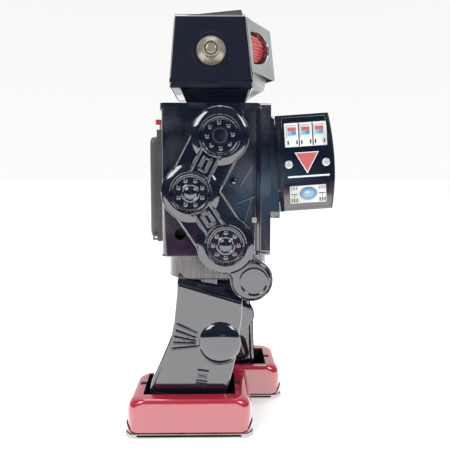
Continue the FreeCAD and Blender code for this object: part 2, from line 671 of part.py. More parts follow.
def head():
    """Tapered black box with a turned-in lower band, an open front and a wedge cap."""
    outer = [(S["head_low"], head_corners(-0.08, 0.7)), (S["head_fold"], head_corners(0)),
             (S["head_top"], head_corners(1))]
    wall = S["sheet"]
    inner = [(S["head_fold"] + 0.2, head_corners(0, wall)), (S["head_top"] - wall, head_corners(1, wall))]
    body = loft_body(outer, inner)
    opening = rectangle(-30, 30, S["head_fold"] + 2, S["head_top"] - 3)
    pocket(body, "YZ", S["head_front_top"] - 3, 12, [opening])
    node(body, "head_shell")
    neck_rings = [(S["neck_low"], rectangle(-18.8, 19.5, -26, 26)),
                  (S["neck_top"], rectangle(-23.8, 24.6, -31, 31))]
    bore_rings = [(S["neck_low"], rectangle(-17.8, 18.5, -25, 25)),
                  (S["neck_top"], rectangle(-22.8, 23.6, -30, 30))]
    node(loft_body(neck_rings, bore_rings), "neck")
    low, top = float(S["head_top"]), float(S["cap_top"])
    side = [V(-26.2, -28, low), V(19.8, -28, low), V(18.2, -28, top), V(-26.2, -28, low + 0.4)]
    wedge = Part.Face(Part.makePolygon(side + side[:1])).extrude(V(0, 56, 0))
    shaped(wedge, "head_cap")
    for side in (-1, 1):
        ear(side)


def ear(side):
    """Bell-shaped knob on the side of the head, turned about its own axis."""
    radius, length = float(S["ear_radius"]), float(S["ear_length"])
    profile = [(0, 0), (radius + 2, 0), (radius + 2, 0.9), (radius, 1.2), (radius - 0.6, 2.4),
               (radius * 0.72, length * 0.72), (radius * 0.54, length * 0.8), (radius * 0.54, length),
               (radius * 0.42, length + 0.2), (radius * 0.3, length + 0.9), (0, length + 1.3)]
    points = [V(across, side * along, 0) for across, along in profile]
    face = Part.Face(Part.makePolygon(points + points[:1]))
    knob = face.revolve(V(0, 0, 0), Y, 360)
    if knob.Volume < 0:
        knob.reverse()
    share = (float(S["ear_z"]) - float(S["head_fold"])) / (float(S["head_top"]) - float(S["head_fold"]))
    wall_y = float(S["head_half"]) - 2 * share
    lean = math.degrees(math.atan2(2, float(S["head_top"]) - float(S["head_fold"])))
    turn = FreeCAD.Rotation(X, -side * -lean)
    shaped(knob, f"{side_name(side)}_ear", S["ear_x"], side * (wall_y + 0.05), S["ear_z"], turn)


def face_section(height, apex, half, base, inset=0.0):
    """Triangular plan of the prow-shaped face at one height."""
    points = [V(base, -half + inset, height), V(apex - inset * 1.3, 0, height), V(base, half - inset, height)]
    return Part.makePolygon(points + points[:1])


def face_plate():
    """Silver face folded to a prow, a narrower chin below it, and a D-shaped eye in each half."""
    wall = 0.9
    low, high = float(S["chin_top"]), float(S["head_top"]) - 2
    top_base, low_base = 21.9, 26.3

    def prow(inset):
        upper = face_section(high, float(S["prow_top"]), 32.6, top_base, inset)
        lower = face_section(low, float(S["prow_low"]), 34.6, low_base, inset)
        return Part.makeLoft([lower, upper], True, True)

    brow_low = face_section(high, float(S["prow_top"]), 32.6, top_base)
    brow_top = face_section(high + 1.6, 33, 32, top_base - 0.4)
    brow = Part.makeLoft([brow_low, brow_top], True, True)
    chin_low = face_section(float(S["head_low"]), float(S["chin_front"]) - 0.6, 32.5, low_base)
    chin_top = face_section(low, float(S["chin_front"]), 33.5, low_base)
    chin = Part.makeLoft([chin_low, chin_top], True, True)
    hollow = prow(wall).cut(Part.makeBox(60, 80, wall, V(0, -40, low)))
    solid = prow(0).multiFuse([brow, chin])
    solid = solid.cut(hollow)
    for side in (-1, 1):
        solid = solid.cut(eye_tool(side, 0.1, 12, -6))
    shaped(solid, "face_plate")
    for side in (-1, 1):
        eye(side)


def eye_frame(side):
    """Centre and outward direction of an eye, square to its half of the face."""
    run = (float(S["prow_low"]) + float(S["prow_top"])) / 2 - 24.1
    facing = V(33.6, side * run, 0).normalize()
    share = 1 - float(S["eye_across"]) / 33.6
    centre = V(24.1 + run * share, side * float(S["eye_across"]), float(S["eye_height"]))
    return centre, facing


def eye_tool(side, margin, length, start):
    """A D-shaped prism along the eye's axis, its straight edge by the head, grown by a margin."""
    centre, facing = eye_frame(side)
    reach, tall = float(S["eye_reach"]) + margin, float(S["eye_half"]) + margin
    straight = float(S["eye_straight"]) + margin
    rim = Part.ArcOfEllipse(Part.Ellipse(V(0, 0, 0), reach, tall), -math.pi / 2, math.pi / 2).toShape()
    corners = [V(0, tall, 0), V(-straight, tall, 0), V(-straight, -tall, 0), V(0, -tall, 0)]
    sides = [Part.makeLine(one, two) for one, two in zip(corners, corners[1:])]
    face = Part.Face(Part.Wire([rim, *sides]))
    forward = V(side * facing.y, -side * facing.x, 0)
    turn = FreeCAD.Rotation(forward, V(0, 0, -side), facing, "XYZ")
    face.Placement = FreeCAD.Placement(centre - forward * S["eye_arc_back"] + facing * start, turn)
    return face.extrude(facing * length)


def eye(side):
    """Bright reflector bowl with a red ribbed lens standing in it."""
    ring = eye_tool(side, 0, 2.9, -2.3).cut(eye_tool(side, -1, 10, -1.5))
    shaped(ring, f"{side_name(side)}_eye_cup")
    lens = eye_tool(side, -1.4, 1.3, -1.5)
    shaped(lens, f"{side_name(side)}_eye_lens")


# ---- arms -----------------------------------------------------------------------------------

ARM_JOINTS = ((0, 0), (-19.2, -37), (3.8, -71.4), (20.8, -94.8))


def arm_plan():
    """Discs at shoulder, elbow, wrist and hand joined by bars, seen square to the arm."""
    big = float(S["disc_radius"])
    radii = (big, big, big, float(S["hand_radius"]))
    shapes = [Part.Face(Part.Wire(Part.makeCircle(radius, V(x, 0, z), Y)))
              for (x, z), radius in zip(ARM_JOINTS, radii)]
    widths = (17.4, 17.4, 8)
    for (start, stop, half) in zip(ARM_JOINTS, ARM_JOINTS[1:], widths):
        along = V(stop[0] - start[0], 0, stop[1] - start[1]).normalize()
        across = V(-along.z, 0, along.x)
        first, second = V(start[0], 0, start[1]), V(stop[0], 0, stop[1])
        points = [first + across * half, second + across * half, second - across * half,
                  first - across * half]
        shapes.append(Part.Face(Part.makePolygon(points + points[:1])))
    return shapes


def lift(shapes, side, low, high):
    """Raise flat shapes to a slab between two distances from the arm's inner face."""
    slabs = []
    for shape in shapes:
        moved = shape.copy()
        moved.translate(V(0, side * low, 0))
        slabs.append(moved.extrude(V(0, side * (high - low), 0)))
    return slabs[0].multiFuse(slabs[1:]).removeSplitter() if len(slabs) > 1 else slabs[0]


def arm_disc(side, x, z, start, turned):
    """Raised ring, eight bumps and a hub on one disc of the arm."""
    out = V(0, side, 0)
    big, inner = float(S["disc_radius"]), float(S["disc_inner"])

    def stub(radius, length, across=0.0, up=0.0):
        return Part.makeCylinder(radius, length, V(x + across, side * start, z + up), out)

    ring = stub(inner + 2.6, 0.9).cut(stub(inner, 2))
    hub = stub(float(S["hub_ring"]), 0.9)
    dome = stub(3, 1.9)
    bumps = []
    for index in range(8):
        angle = math.radians(turned + 45 * index)
        reach = float(S["bump_circle"]) + 0.6
        bumps.append(stub(1.7, 0.8, reach * math.cos(angle), reach * math.sin(angle)))
    rim = stub(big, 0.6).cut(stub(big - 1.2, 2))
    return [ring, hub, dome, rim] + bumps


def arm(side):
    """Zigzag pressing: an open-backed tray with embossed discs, riding on the shoulder rod."""
    depth = float(S["arm_depth"])
    plan = arm_plan()
    outer = lift(plan, side, 0, depth)
    inner_plan = []
    for face in plan:
        offset = face.makeOffset2D(-1.0)
        inner_plan.append(offset)
    hollow = lift(inner_plan, side, 1.0, depth - 1.0)
    tray = outer.cut(hollow)
    embossed = []
    for (x, z), turned in zip(ARM_JOINTS[:3], (4, 22.5, 45)):
        embossed += arm_disc(side, x, z, depth - 0.05, turned)
    hand_x, hand_z = ARM_JOINTS[3]
    palm = Part.makeCylinder(8.3, 1.0, V(hand_x + 1.4, side * (depth - 0.05), hand_z - 1.5), V(0, side, 0))
    embossed.append(palm)
    for start, stop in (ARM_JOINTS[:2], ARM_JOINTS[1:3]):
        middle = V(start[0] + (stop[0] - start[0]) * 0.5, 0, start[1] + (stop[1] - start[1]) * 0.5)
        along = math.degrees(math.atan2(stop[0] - start[0], stop[1] - start[1]))
        bar = Part.makeBox(4.6, 0.9, 8.8, V(-2.3, 0, -4.4))
        bar.rotate(V(), Y, along)
        bar.translate(middle + V(0, side * (depth - 0.05) - (0.9 if side < 0 else 0), 0))
        embossed.append(bar)
    solid = tray.multiFuse(embossed)
    bore = Part.makeCylinder(float(S["shoulder_pin"]) + 0.05, depth + 4, V(0, side * -1, 0), V(0, side, 0))
    core = Part.makeCylinder(5, depth - 0.5, V(0, side * 0.2, 0), V(0, side, 0))
    solid = solid.fuse(core).cut(bore).removeSplitter()
    shaped(solid, f"{side_name(side)}_arm", S["shoulder_x"], side * float(S["arm_y"]), S["shoulder_z"])


def shoulders():
    """One rod through the body carries both arms; a headed rivet and a spacer at each end."""
    end = S["arm_y"] + S["arm_depth"] + 2.1
    parts = [rod(S["shoulder_pin"], end * 2, S["shoulder_x"], -end, S["shoulder_z"], "y")]
    for head in (-end, end - 1.1):
        parts.append(rod(S["shoulder_pin"] + 1.2, 1.1, S["shoulder_x"], head, S["shoulder_z"], "y"))
    node(fuse(*parts), "shoulder_rod")
    for side in (-1, 1):
        arm(side)
        half, outside = S["torso_half"], S["arm_y"]
        low, high = span(side, half, outside - 0.3)
        spacer = rod(6, high - low, S["shoulder_x"], low, S["shoulder_z"], "y")
        hole = rod(S["shoulder_pin"], high - low + 2, S["shoulder_x"], low - 1, S["shoulder_z"], "y")
        node(cut(spacer, hole), f"{side_name(side)}_shoulder_spacer")


# ---- legs -----------------------------------------------------------------------------------

LEG_OUTLINE = ((-22, -9), (-21, -22), (-20.4, -37), (-21.2, -47), (-23.4, -56), (-27.2, -69.5),
               (-30.2, -80), (-31.5, -88), (-31.5, -91), (20.5, -91), (21.5, -82), (22.8, -79), (24.8, -68),
               (26, -57), (27.6, -53), (28.2, -47), (27.6, -41), (26, -35), (26.2, -27.5), (25, -16.5))
KNEE = (13.5, -47.1)
RIBS = (((-19, -38), (-3.4, -42.3)), ((-19.2, -42.8), (-3.6, -45.8)), ((-20, -47.1), (-3.9, -48.1)),
        ((-20.2, -51.4), (-4, -49.8)), ((-20.3, -55.8), (-1.8, -51.3)))
SLOT_ROWS = (-69, -74, -79)


def leg_shell(side):
    """Hollow tin box of the leg, with a window in its inner face for the crank pin."""
    near, far = float(S["leg_in"]), float(S["leg_out"])
    low, high = sorted((side * near, side * far))
    wall = 0.9
    outline = [V(x, low, z) for x, z in LEG_OUTLINE]
    face = Part.Face(Part.makePolygon(outline + outline[:1]))
    shell = face.extrude(V(0, high - low, 0))
    inner = face.makeOffset2D(-wall)
    inner.translate(V(0, wall, 0))
    shell = shell.cut(inner.extrude(V(0, high - low - 2 * wall, 0)))
    ears = []
    for start, half, foot in ((near, 10, -14), (far - 7, 6, -20)):
        ear_low = min(side * start, side * (start + 1))
        ears.append(Part.makeBox(2 * half, 1, 4 - foot, V(-half, ear_low, foot)))
    shell = shell.multiFuse(ears)
    window = Part.makeBox(12.8, 7, 9, V(-6.4, min(side * (near - 1), side * (near + 6)), -20.5))
    return shell.cut(window)


def leg_face(side):
    """Knee dome, fan of ribs and rows of slots pressed out of the leg's outer face."""
    skin = side * float(S["leg_out"])
    out = V(0, side, 0)
    knee_x, knee_z = KNEE
    disc = Part.makeCylinder(float(S["knee_radius"]), 0.8, V(knee_x, skin, knee_z), out)
    ball = Part.makeSphere(24, V(knee_x, skin - side * 20.6, knee_z))
    dome = ball.common(Part.makeCylinder(12, 8, V(knee_x, skin, knee_z), out))
    raised = [disc, dome]
    for start, stop in RIBS:
        rise = math.degrees(math.atan2(stop[1] - start[1], stop[0] - start[0]))
        rib = Part.makeBox(math.hypot(stop[0] - start[0], stop[1] - start[1]), 0.7, 1.1)
        rib.translate(V(0, min(0, side * 0.7), -0.55))
        rib.rotate(V(), Y, -rise)
        rib.translate(V(start[0], skin, start[1]))
        raised.append(rib)
    for height in SLOT_ROWS:
        raised.append(Part.makeBox(8.3, 0.7, 1.6, V(0.4, min(skin, skin + side * 0.7), height)))
    return raised


def ankle_yoke(side):
    """Fork inside the foot of the leg that takes the ankle pin."""
    near, far = float(S["leg_in"]), float(S["leg_out"])
    drop = float(S["ankle_height"]) - float(S["hip_height"])
    low = min(side * (near + 6), side * (far - 6))
    deep = far - near - 12
    fork = Part.makeBox(12, deep, 14, V(-6, low, drop - 4))
    fork = fork.cut(Part.makeBox(20, deep - 4, 20, V(-10, low + 2, drop - 6)))
    bar_low = min(side * (near + 0.5), side * (far - 0.5))
    bar = Part.makeBox(40, far - near - 1, 1.2, V(-20, bar_low, drop + 9))
    return fork.fuse(bar)


def leg(side):
    """Tin leg, upright in its own frame about the hip axle."""
    drop = float(S["ankle_height"]) - float(S["hip_height"])
    solid = leg_shell(side).multiFuse(leg_face(side) + [ankle_yoke(side)])
    for height, radius in ((0, S["hip_axle_radius"]), (drop, S["ankle_pin"])):
        bore = Part.makeCylinder(float(radius) + 0.05, 60, V(0, side * 25 - 30, height), Y)
        solid = solid.cut(bore)
    return solid.removeSplitter()


def legs():
    """Both legs as they stand, one a stride ahead of the other."""
    for side in (-1, 1):
        turn = FreeCAD.Rotation(Y, -side * LEG_SWING)
        shaped(leg(side), f"{side_name(side)}_leg", S["hip_x"], 0, S["hip_height"], turn)


LEG_SWING = 8


def ankle_x(side):
    """Where the ankle stands fore and aft."""
    drop = SIZES["hip_height"] - SIZES["ankle_height"]
    return SIZES["hip_x"] + side * drop * math.sin(math.radians(LEG_SWING))


def ankle_z():
    """Height of the ankle pin with the leg swung."""
    drop = SIZES["hip_height"] - SIZES["ankle_height"]
    return SIZES["hip_height"] - drop * math.cos(math.radians(LEG_SWING))


# ---- shoes ----------------------------------------------------------------------------------

def shoe_corners(ends, sides, clip):
    """Plan of the shoe with its four corners cut, drawn in at its ends and sides."""
    back, front = S["shoe_back"] + ends, S["shoe_front"] - ends
    near, far = S["shoe_in"] + sides, S["shoe_out"] - sides
    return [(back + clip, near, 0), (front - clip, near, 0), (front, near + clip, 0), (front, far - clip, 0),
            (front - clip, far, 0), (back + clip, far, 0), (back, far - clip, 0), (back, near + clip, 0)]


def mirrored(corners, side):
    """The outline on the robot's right is the left one mirrored."""
    return corners if side > 0 else [(x, -y, radius) for x, y, radius in reversed(corners)]


def shoe(side):
    """Red tin shoe open on top for the leg, its metal sole, ankle pin and two hidden rollers."""
    foot = ankle_x(side)
    name = side_name(side)
    wall = S["sheet"]
    heights = (S["sole_top"], S["shoe_top"] - 5, S["shoe_top"])
    outer = [(heights[0], mirrored(shoe_corners(0, 0, 4), side)),
             (heights[1], mirrored(shoe_corners(0.4, 0.2, 5), side)),
             (heights[2], mirrored(shoe_corners(5, 1.4, 6), side))]
    inner = [(heights[0] - 0.1, mirrored(shoe_corners(wall, wall, 4), side)),
             (heights[1] - 0.3, mirrored(shoe_corners(0.4 + wall, 0.2 + wall, 5), side)),
             (heights[2] - 1, mirrored(shoe_corners(5.8, 2.2, 6), side))]
    body = loft_body(outer, inner)
    low, high = span(side, 8.5, 42)
    pocket(body, "XY", S["shoe_top"] - 4, 10, [rectangle(-33.8, 30.6, low, high, 1)])
    low, high = span(side, 22.5, 26.5)
    pocket(body, "XY", S["shoe_top"] - 4, 10, [rectangle(-37.6, 34.4, low, high, 1)])
    node(body, f"{name}_shoe", foot)
    sole = new_body()
    sole_edge = mirrored(shoe_corners(-0.6, -0.3, 4), side)
    pad(sole, "XY", S["sole_low"], S["sole_top"] - S["sole_low"] - 0.05, [sole_edge])
    gaps = []
    for centre in (S["roller_front"], S["roller_back"]):
        low, high = span(side, 18, 32)
        gaps.append(rectangle(centre - 5.5, centre + 5.5, low, high))
    pocket(sole, "XY", -1, 6, gaps)
    node(sole, f"{name}_sole", foot)
    middle = side * 25
    level = ankle_z()
    cheeks = []
    for across in (11.6, 38.9):
        cheeks.append(box(-5, 5, side * across - 0.4, side * across + 0.4, S["sole_top"], level + 4))
    pin = rod(S["ankle_pin"], 27.8, 0, side * 25.25 - 13.9, level, "y")
    node(fuse(*cheeks, pin), f"{name}_ankle_bracket", foot)
    axles = []
    for centre in (S["roller_front"], S["roller_back"]):
        wheel = cut(rod(S["roller_radius"], 10, centre, middle - 5, S["roller_radius"], "y"),
                    rod(S["roller_pin"] + 0.05, 12, centre, middle - 6, S["roller_radius"], "y"))
        place_name = "front" if float(centre) > 0 else "rear"
        node(wheel, f"{name}_{place_name}_roller", foot)
        lugs = [box(centre - 2.5, centre + 2.5, middle + edge - 0.5, middle + edge + 0.5, S["sole_top"], 7)
                for edge in (-6.5, 6.5)]
        axles.append(fuse(rod(S["roller_pin"], 13.6, centre, middle - 6.8, S["roller_radius"], "y"), *lugs))
    node(group(*axles), f"{name}_roller_axles", foot)


def check_and_write():
    """Recompute, refuse anything broken, and write one file for each sub-part."""
    doc.recompute()
    broken = [item.Name for item in doc.Objects if {"Invalid", "Error"} & set(item.State)]
    for item in NODES:
        if item.Shape.isNull() or not item.Shape.isValid():
            broken.append(item.Label)
    if broken:
        raise RuntimeError("broken: " + ", ".join(broken))
    os.makedirs("parts", exist_ok=True)
    whole = FreeCAD.BoundBox()
    for item in NODES:
        item.Shape.exportStep(f"parts/{item.Label}.step")
        whole.add(item.Shape.BoundBox)
    print(len(NODES), "nodes", whole)


waist()
hip_hardware()
drive()
torso_shell()
chest_front()
guns()
doors()
battery_bay()
battery_cover()
switch()
head()
face_plate()
shoulders()
legs()
for foot_side in (-1, 1):
    shoe(foot_side)
check_and_write()
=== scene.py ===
import json
import math

import bmesh
import bpy
import numpy as np
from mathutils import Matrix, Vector


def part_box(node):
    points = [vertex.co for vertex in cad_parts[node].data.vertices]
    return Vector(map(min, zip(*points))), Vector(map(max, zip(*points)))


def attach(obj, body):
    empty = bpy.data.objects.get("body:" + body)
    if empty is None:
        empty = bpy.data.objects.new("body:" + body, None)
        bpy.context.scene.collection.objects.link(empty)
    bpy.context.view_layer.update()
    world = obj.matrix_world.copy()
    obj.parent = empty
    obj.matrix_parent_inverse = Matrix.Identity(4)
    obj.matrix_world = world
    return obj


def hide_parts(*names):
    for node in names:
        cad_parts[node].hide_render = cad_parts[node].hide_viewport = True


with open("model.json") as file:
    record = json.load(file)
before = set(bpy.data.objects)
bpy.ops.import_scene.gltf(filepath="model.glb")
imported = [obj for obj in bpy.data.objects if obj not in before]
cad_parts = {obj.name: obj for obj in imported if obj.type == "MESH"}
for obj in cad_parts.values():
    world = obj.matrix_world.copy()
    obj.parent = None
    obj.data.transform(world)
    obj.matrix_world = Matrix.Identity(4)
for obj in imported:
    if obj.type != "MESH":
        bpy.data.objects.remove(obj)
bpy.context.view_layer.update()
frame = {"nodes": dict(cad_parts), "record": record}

# Tin robot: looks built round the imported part. The robot faces +X and its right side is -Y. Shapes are
# drawn in millimetres and placed in metres. SHIFT takes an x measured from the robot's own middle, where
# the shell's back is at SHELL_BACK, to the frame's x.

MM = 0.001
NODES = frame["nodes"]
JOINTS = {joint["name"]: joint for joint in frame["record"]["behaviour"]["joints"]}
SIDES = ((-1, "right"), (1, "left"))
SHELL_BACK = -35.7
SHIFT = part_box("body_shell")[0].x / MM - SHELL_BACK


def span(node):
    """Low and high corner of a CAD node's box, in millimetres."""
    low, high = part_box(node)
    return low / MM, high / MM


def joint_place(name):
    """Where a joint's axis stands, in metres."""
    return Vector(JOINTS[name]["pos_m"])


# ---- materials ------------------------------------------------------------------------------

def shader(name, color, roughness, metallic=0.0, coat=0.0, coat_roughness=0.03, ior=1.5):
    """A principled material with its fixed values on the shader's own sockets."""
    material = bpy.data.materials.new(name)
    material.use_nodes = True
    tree = material.node_tree
    surface = tree.nodes["Principled BSDF"]
    surface.inputs["Base Color"].default_value = (*color, 1)
    surface.inputs["Roughness"].default_value = roughness
    surface.inputs["Metallic"].default_value = metallic
    surface.inputs["Coat Weight"].default_value = coat
    surface.inputs["Coat Roughness"].default_value = coat_roughness
    surface.inputs["IOR"].default_value = ior
    return material, tree, surface


def node_of(tree, kind, **values):
    """Add a node and set its inputs by name."""
    node = tree.nodes.new(kind)
    for name, value in values.items():
        node.inputs[name.replace("_", " ")].default_value = value
    return node


def object_noise(tree, scale, detail=4.0, stretch=(1, 1, 1)):
    """Noise in the object's own coordinates."""
    place = tree.nodes.new("ShaderNodeTexCoord")
    mapping = tree.nodes.new("ShaderNodeMapping")
    mapping.inputs["Scale"].default_value = stretch
    noise = node_of(tree, "ShaderNodeTexNoise", Scale=scale, Detail=detail)
    tree.links.new(place.outputs["Object"], mapping.inputs["Vector"])
    tree.links.new(mapping.outputs["Vector"], noise.inputs["Vector"])
    return noise.outputs["Fac"]


def ramp(tree, source, stops):
    """A colour ramp on a factor: stops are (place, value or colour)."""
    node = tree.nodes.new("ShaderNodeValToRGB")
    elements = node.color_ramp.elements
    while len(elements) < len(stops):
        elements.new(0.5)
    for element, (place, value) in zip(elements, stops):
        element.position = place
        element.color = (value, value, value, 1) if isinstance(value, float) else (*value, 1)
    tree.links.new(source, node.inputs["Fac"])
    return node.outputs["Color"]


def mixed(tree, factor, first, second, blend="MIX"):
    """Two colours mixed; the factor and the colours are each a constant or another node's output."""
    node = tree.nodes.new("ShaderNodeMix")
    node.data_type = "RGBA"
    node.blend_type = blend
    for name, value in (("Factor", factor), ("A", first), ("B", second)):
        if isinstance(value, bpy.types.NodeSocket):
            tree.links.new(value, node.inputs[name])
        else:
            node.inputs[name].default_value = value if isinstance(value, float) else (*value, 1)
    return node.outputs["Result"]


def product(tree, first, second):
    """One output times another."""
    node = tree.nodes.new("ShaderNodeMath")
    node.operation = "MULTIPLY"
    tree.links.new(first, node.inputs[0])
    tree.links.new(second, node.inputs[1])
    return node.outputs["Value"]


def raised(tree, surface, height, strength, distance):
    """Bump a surface by a height."""
    relief = node_of(tree, "ShaderNodeBump", Strength=strength, Distance=distance)
    tree.links.new(height, relief.inputs["Height"])
    tree.links.new(relief.outputs["Normal"], surface.inputs["Normal"])


def worn(name, color, worn_color, roughness, bump=0.02, wear=0.5, speck=0.35, **rest):
    """Painted or moulded surface: uneven gloss, faint ripple, fine specks and rubbed edges."""
    material, tree, surface = shader(name, color, roughness, **rest)
    large = object_noise(tree, 38, 5)
    fine = object_noise(tree, 900, 3)
    gloss = ramp(tree, large, ((0.3, roughness), (0.75, min(1.0, roughness + 0.10))))
    tree.links.new(gloss, surface.inputs["Roughness"])
    geometry = tree.nodes.new("ShaderNodeNewGeometry")
    edge = ramp(tree, geometry.outputs["Pointiness"], ((0.53, 0.0), (0.60, 1.0)))
    patch = ramp(tree, large, ((0.50, 0.0), (0.66, wear)))
    tone = mixed(tree, product(tree, edge, patch), color, worn_color)
    specks = ramp(tree, fine, ((0.70, 0.0), (0.76, speck)))
    tree.links.new(mixed(tree, specks, tone, worn_color), surface.inputs["Base Color"])
    raised(tree, surface, object_noise(tree, 60, 2), bump, 0.0006)
    return material


def brushed(name, color, roughness, stretch=(1, 1, 30), metallic=1.0, lines_tone=1.0):
    """Bare or silvered metal with fine drawn lines and cloudy tarnish, streaked where asked."""
    material, tree, surface = shader(name, color, roughness, metallic=metallic)
    lines = object_noise(tree, 160, 3, stretch)
    cloud = object_noise(tree, 45, 4)
    gloss = ramp(tree, cloud, ((0.3, max(0.05, roughness - 0.06)), (0.7, roughness + 0.1)))
    tree.links.new(gloss, surface.inputs["Roughness"])
    dark = tuple(value * 0.78 for value in color)
    tone = ramp(tree, cloud, ((0.35, dark), (0.6, tuple(color))))
    streak = ramp(tree, lines, ((0.35, 1.0), (0.65, lines_tone)))
    tree.links.new(mixed(tree, 1.0, tone, streak, "MULTIPLY"), surface.inputs["Base Color"])
    raised(tree, surface, lines, 0.05, 0.0004)
    return material


BLACK = worn("black_lacquer", (0.004, 0.006, 0.013), (0.08, 0.08, 0.09), 0.05, coat=1.0, ior=1.75, wear=0.4,
             bump=0.05, speck=0.04)
SILVER = brushed("silver_paint", (0.36, 0.38, 0.36), 0.38, metallic=0.55)
CAP_GREY = brushed("cap_grey", (0.12, 0.13, 0.125), 0.30, metallic=0.5)
BAND = brushed("waist_silver", (0.085, 0.080, 0.082), 0.14, (14, 14, 0.4), metallic=0.9, lines_tone=1.8)
RED = worn("red_lacquer", (0.33, 0.018, 0.034), (0.20, 0.03, 0.03), 0.06, coat=1.0, ior=1.75, bump=0.03,
           speck=0.06)
EAR = worn("ear_plastic", (0.30, 0.27, 0.22), (0.16, 0.13, 0.10), 0.26, bump=0.03, speck=0.3, metallic=0.55)
MOULDED = worn("black_moulding", (0.060, 0.055, 0.056), (0.12, 0.11, 0.11), 0.34, bump=0.12, speck=0.1)
RED_PLASTIC = worn("red_moulding", (0.45, 0.03, 0.03), (0.35, 0.10, 0.08), 0.25, coat=0.3)
CHROME = brushed("chrome", (0.40, 0.45, 0.46), 0.07, (1, 1, 1))
STEEL = brushed("steel", (0.42, 0.42, 0.41), 0.32)
SOLE = brushed("sole_metal", (0.33, 0.32, 0.32), 0.30, (30, 1, 1), metallic=0.9)
GEAR = worn("gear_plastic", (0.62, 0.60, 0.52), (0.35, 0.33, 0.28), 0.45)
ROLLER = worn("roller_plastic", (0.03, 0.03, 0.03), (0.12, 0.12, 0.12), 0.5)
BRASS = brushed("brass", (0.60, 0.42, 0.16), 0.28)
PLATED = brushed("plated_steel", (0.62, 0.56, 0.36), 0.30, metallic=0.8)
JACKET = worn("cell_jacket", (0.05, 0.06, 0.12), (0.3, 0.3, 0.3), 0.25, coat=0.5)
LAMP = worn("lamp_glass", (0.60, 0.16, 0.05), (0.3, 0.1, 0.05), 0.1, coat=1.0)
PRINTS = {
    "white": worn("print_white", (0.62, 0.65, 0.64), (0.35, 0.33, 0.28), 0.16, coat=0.8, wear=0.6),
    "red": worn("print_red", (0.46, 0.10, 0.11), (0.3, 0.1, 0.08), 0.16, coat=0.8),
    "blue": worn("print_blue", (0.06, 0.22, 0.40), (0.3, 0.35, 0.4), 0.16, coat=0.8),
    "teal": worn("print_teal", (0.19, 0.40, 0.50), (0.3, 0.35, 0.4), 0.16, coat=0.8),
    "black": worn("print_black", (0.010, 0.012, 0.02), (0.1, 0.1, 0.1), 0.12, coat=1.0),
    "grey": worn("print_grey", (0.22, 0.23, 0.23), (0.3, 0.3, 0.3), 0.16, coat=0.8),
}
RIVET = worn("rivet_metal", (0.60, 0.62, 0.62), (0.30, 0.30, 0.30), 0.24, metallic=0.5)
# Near-black matte paint that stands for painted shade: it goes inside the leg slots, the shoe's notches and
# well, and behind the eye's lens, where the tin lies in shade.
PAINTED_SHADE = worn("painted_shade_black", (0.006, 0.006, 0.020), (0.02, 0.02, 0.03), 0.85, speck=0.1)

LOOKS = {
    "black_lacquer": BLACK, "silver_paint": SILVER, "red_lacquer": RED, "door_print": BLACK,
    "ear_plastic": EAR, "black_plastic": MOULDED, "red_plastic": RED_PLASTIC, "chrome": CHROME,
    "steel": STEEL, "gear_plastic": GEAR, "roller_plastic": ROLLER, "brass": BRASS,
    "cell_jacket": JACKET, "lamp_glass": LAMP,
}
OWN_LOOKS = {"waist_band": BAND, "shoulder_rod": BLACK, "head_cap": CAP_GREY, "right_sole": SOLE,
             "left_sole": SOLE, "switch_plate": PLATED, "chest_lamp": LAMP}


def dress_nodes():
    """Give every carried-over node its slot's material."""
    for part in frame["record"]["subparts"]:
        shown = NODES[part["node"]]
        look = OWN_LOOKS.get(part["node"], LOOKS[part["material_slot"]])
        shown.data.materials.clear()
        shown.data.materials.append(look)


# ---- mesh tools -----------------------------------------------------------------------------

def piece(name, shape, body, slot, look=None, smooth=35, bevel=0.0, offset=(0, 0, 0)):
    """A finished piece: mesh in millimetres from an offset in metres, riding on a body."""
    verts, faces = shape
    mesh = bpy.data.meshes.new(name)
    points = np.asarray(verts, float) * MM + np.array(offset, float)
    mesh.from_pydata(points.tolist(), [], [tuple(face) for face in faces])
    mesh.validate()
    welded = bmesh.new()
    welded.from_mesh(mesh)
    bmesh.ops.remove_doubles(welded, verts=welded.verts, dist=1e-6)
    bmesh.ops.recalc_face_normals(welded, faces=welded.faces)
    welded.to_mesh(mesh)
    welded.free()
    mesh.materials.append(look or LOOKS[slot])
    item = bpy.data.objects.new(name, mesh)
    bpy.context.collection.objects.link(item)
    mesh.shade_smooth()
    mesh.set_sharp_from_angle(angle=math.radians(smooth))
    if bevel:
        edge = item.modifiers.new("edges", "BEVEL")
        edge.width = bevel * MM
        edge.segments = 3
        edge.limit_method = "ANGLE"
        edge.angle_limit = math.radians(smooth)
    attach(item, body)
    return item


def rounded(x_from, x_to, y_from, y_to, radius, steps=5):
    """A rounded rectangle as points, anticlockwise."""
    radius = max(radius, 0.01)
    centres = ((x_to - radius, y_to - radius, 0), (x_from + radius, y_to - radius, 90),
               (x_from + radius, y_from + radius, 180), (x_to - radius, y_from + radius, 270))
    points = []
    for x, y, start in centres:
        for step in range(steps + 1):
            angle = math.radians(start + 90 * step / steps)
            points.append((x + radius * math.cos(angle), y + radius * math.sin(angle)))
    return points


def wrapped(rows, count, closed=False):
    """Faces between rows of points that each run round; a closed set joins its last row to its first."""
    faces = []
    for row in range(rows if closed else rows - 1):
        start, above = row * count, (row + 1) % rows * count
        for index in range(count):
            after = (index + 1) % count
            faces.append((start + index, start + after, above + after, above + index))
    return faces


def woven(rows):
    """A sheet through rows of points, open at its four edges."""
    count = len(rows[0])
    faces = []
    for start in range(0, (len(rows) - 1) * count, count):
        for index in range(start, start + count - 1):
            faces.append((index, index + 1, count + index + 1, count + index))
    return [point for row in rows for point in row], faces


def end_faces(rows, count):
    """The two faces that close a tube or loft."""
    return tuple(range(count))[::-1], tuple((rows - 1) * count + index for index in range(count))


def loft(rings, closed_ends=(True, True)):
    """Faces through rings of equal length, with flat ends where asked."""
    count = len(rings[0])
    ends = [face for face, wanted in zip(end_faces(len(rings), count), closed_ends) if wanted]
    return [point for ring in rings for point in ring], wrapped(len(rings), count) + ends


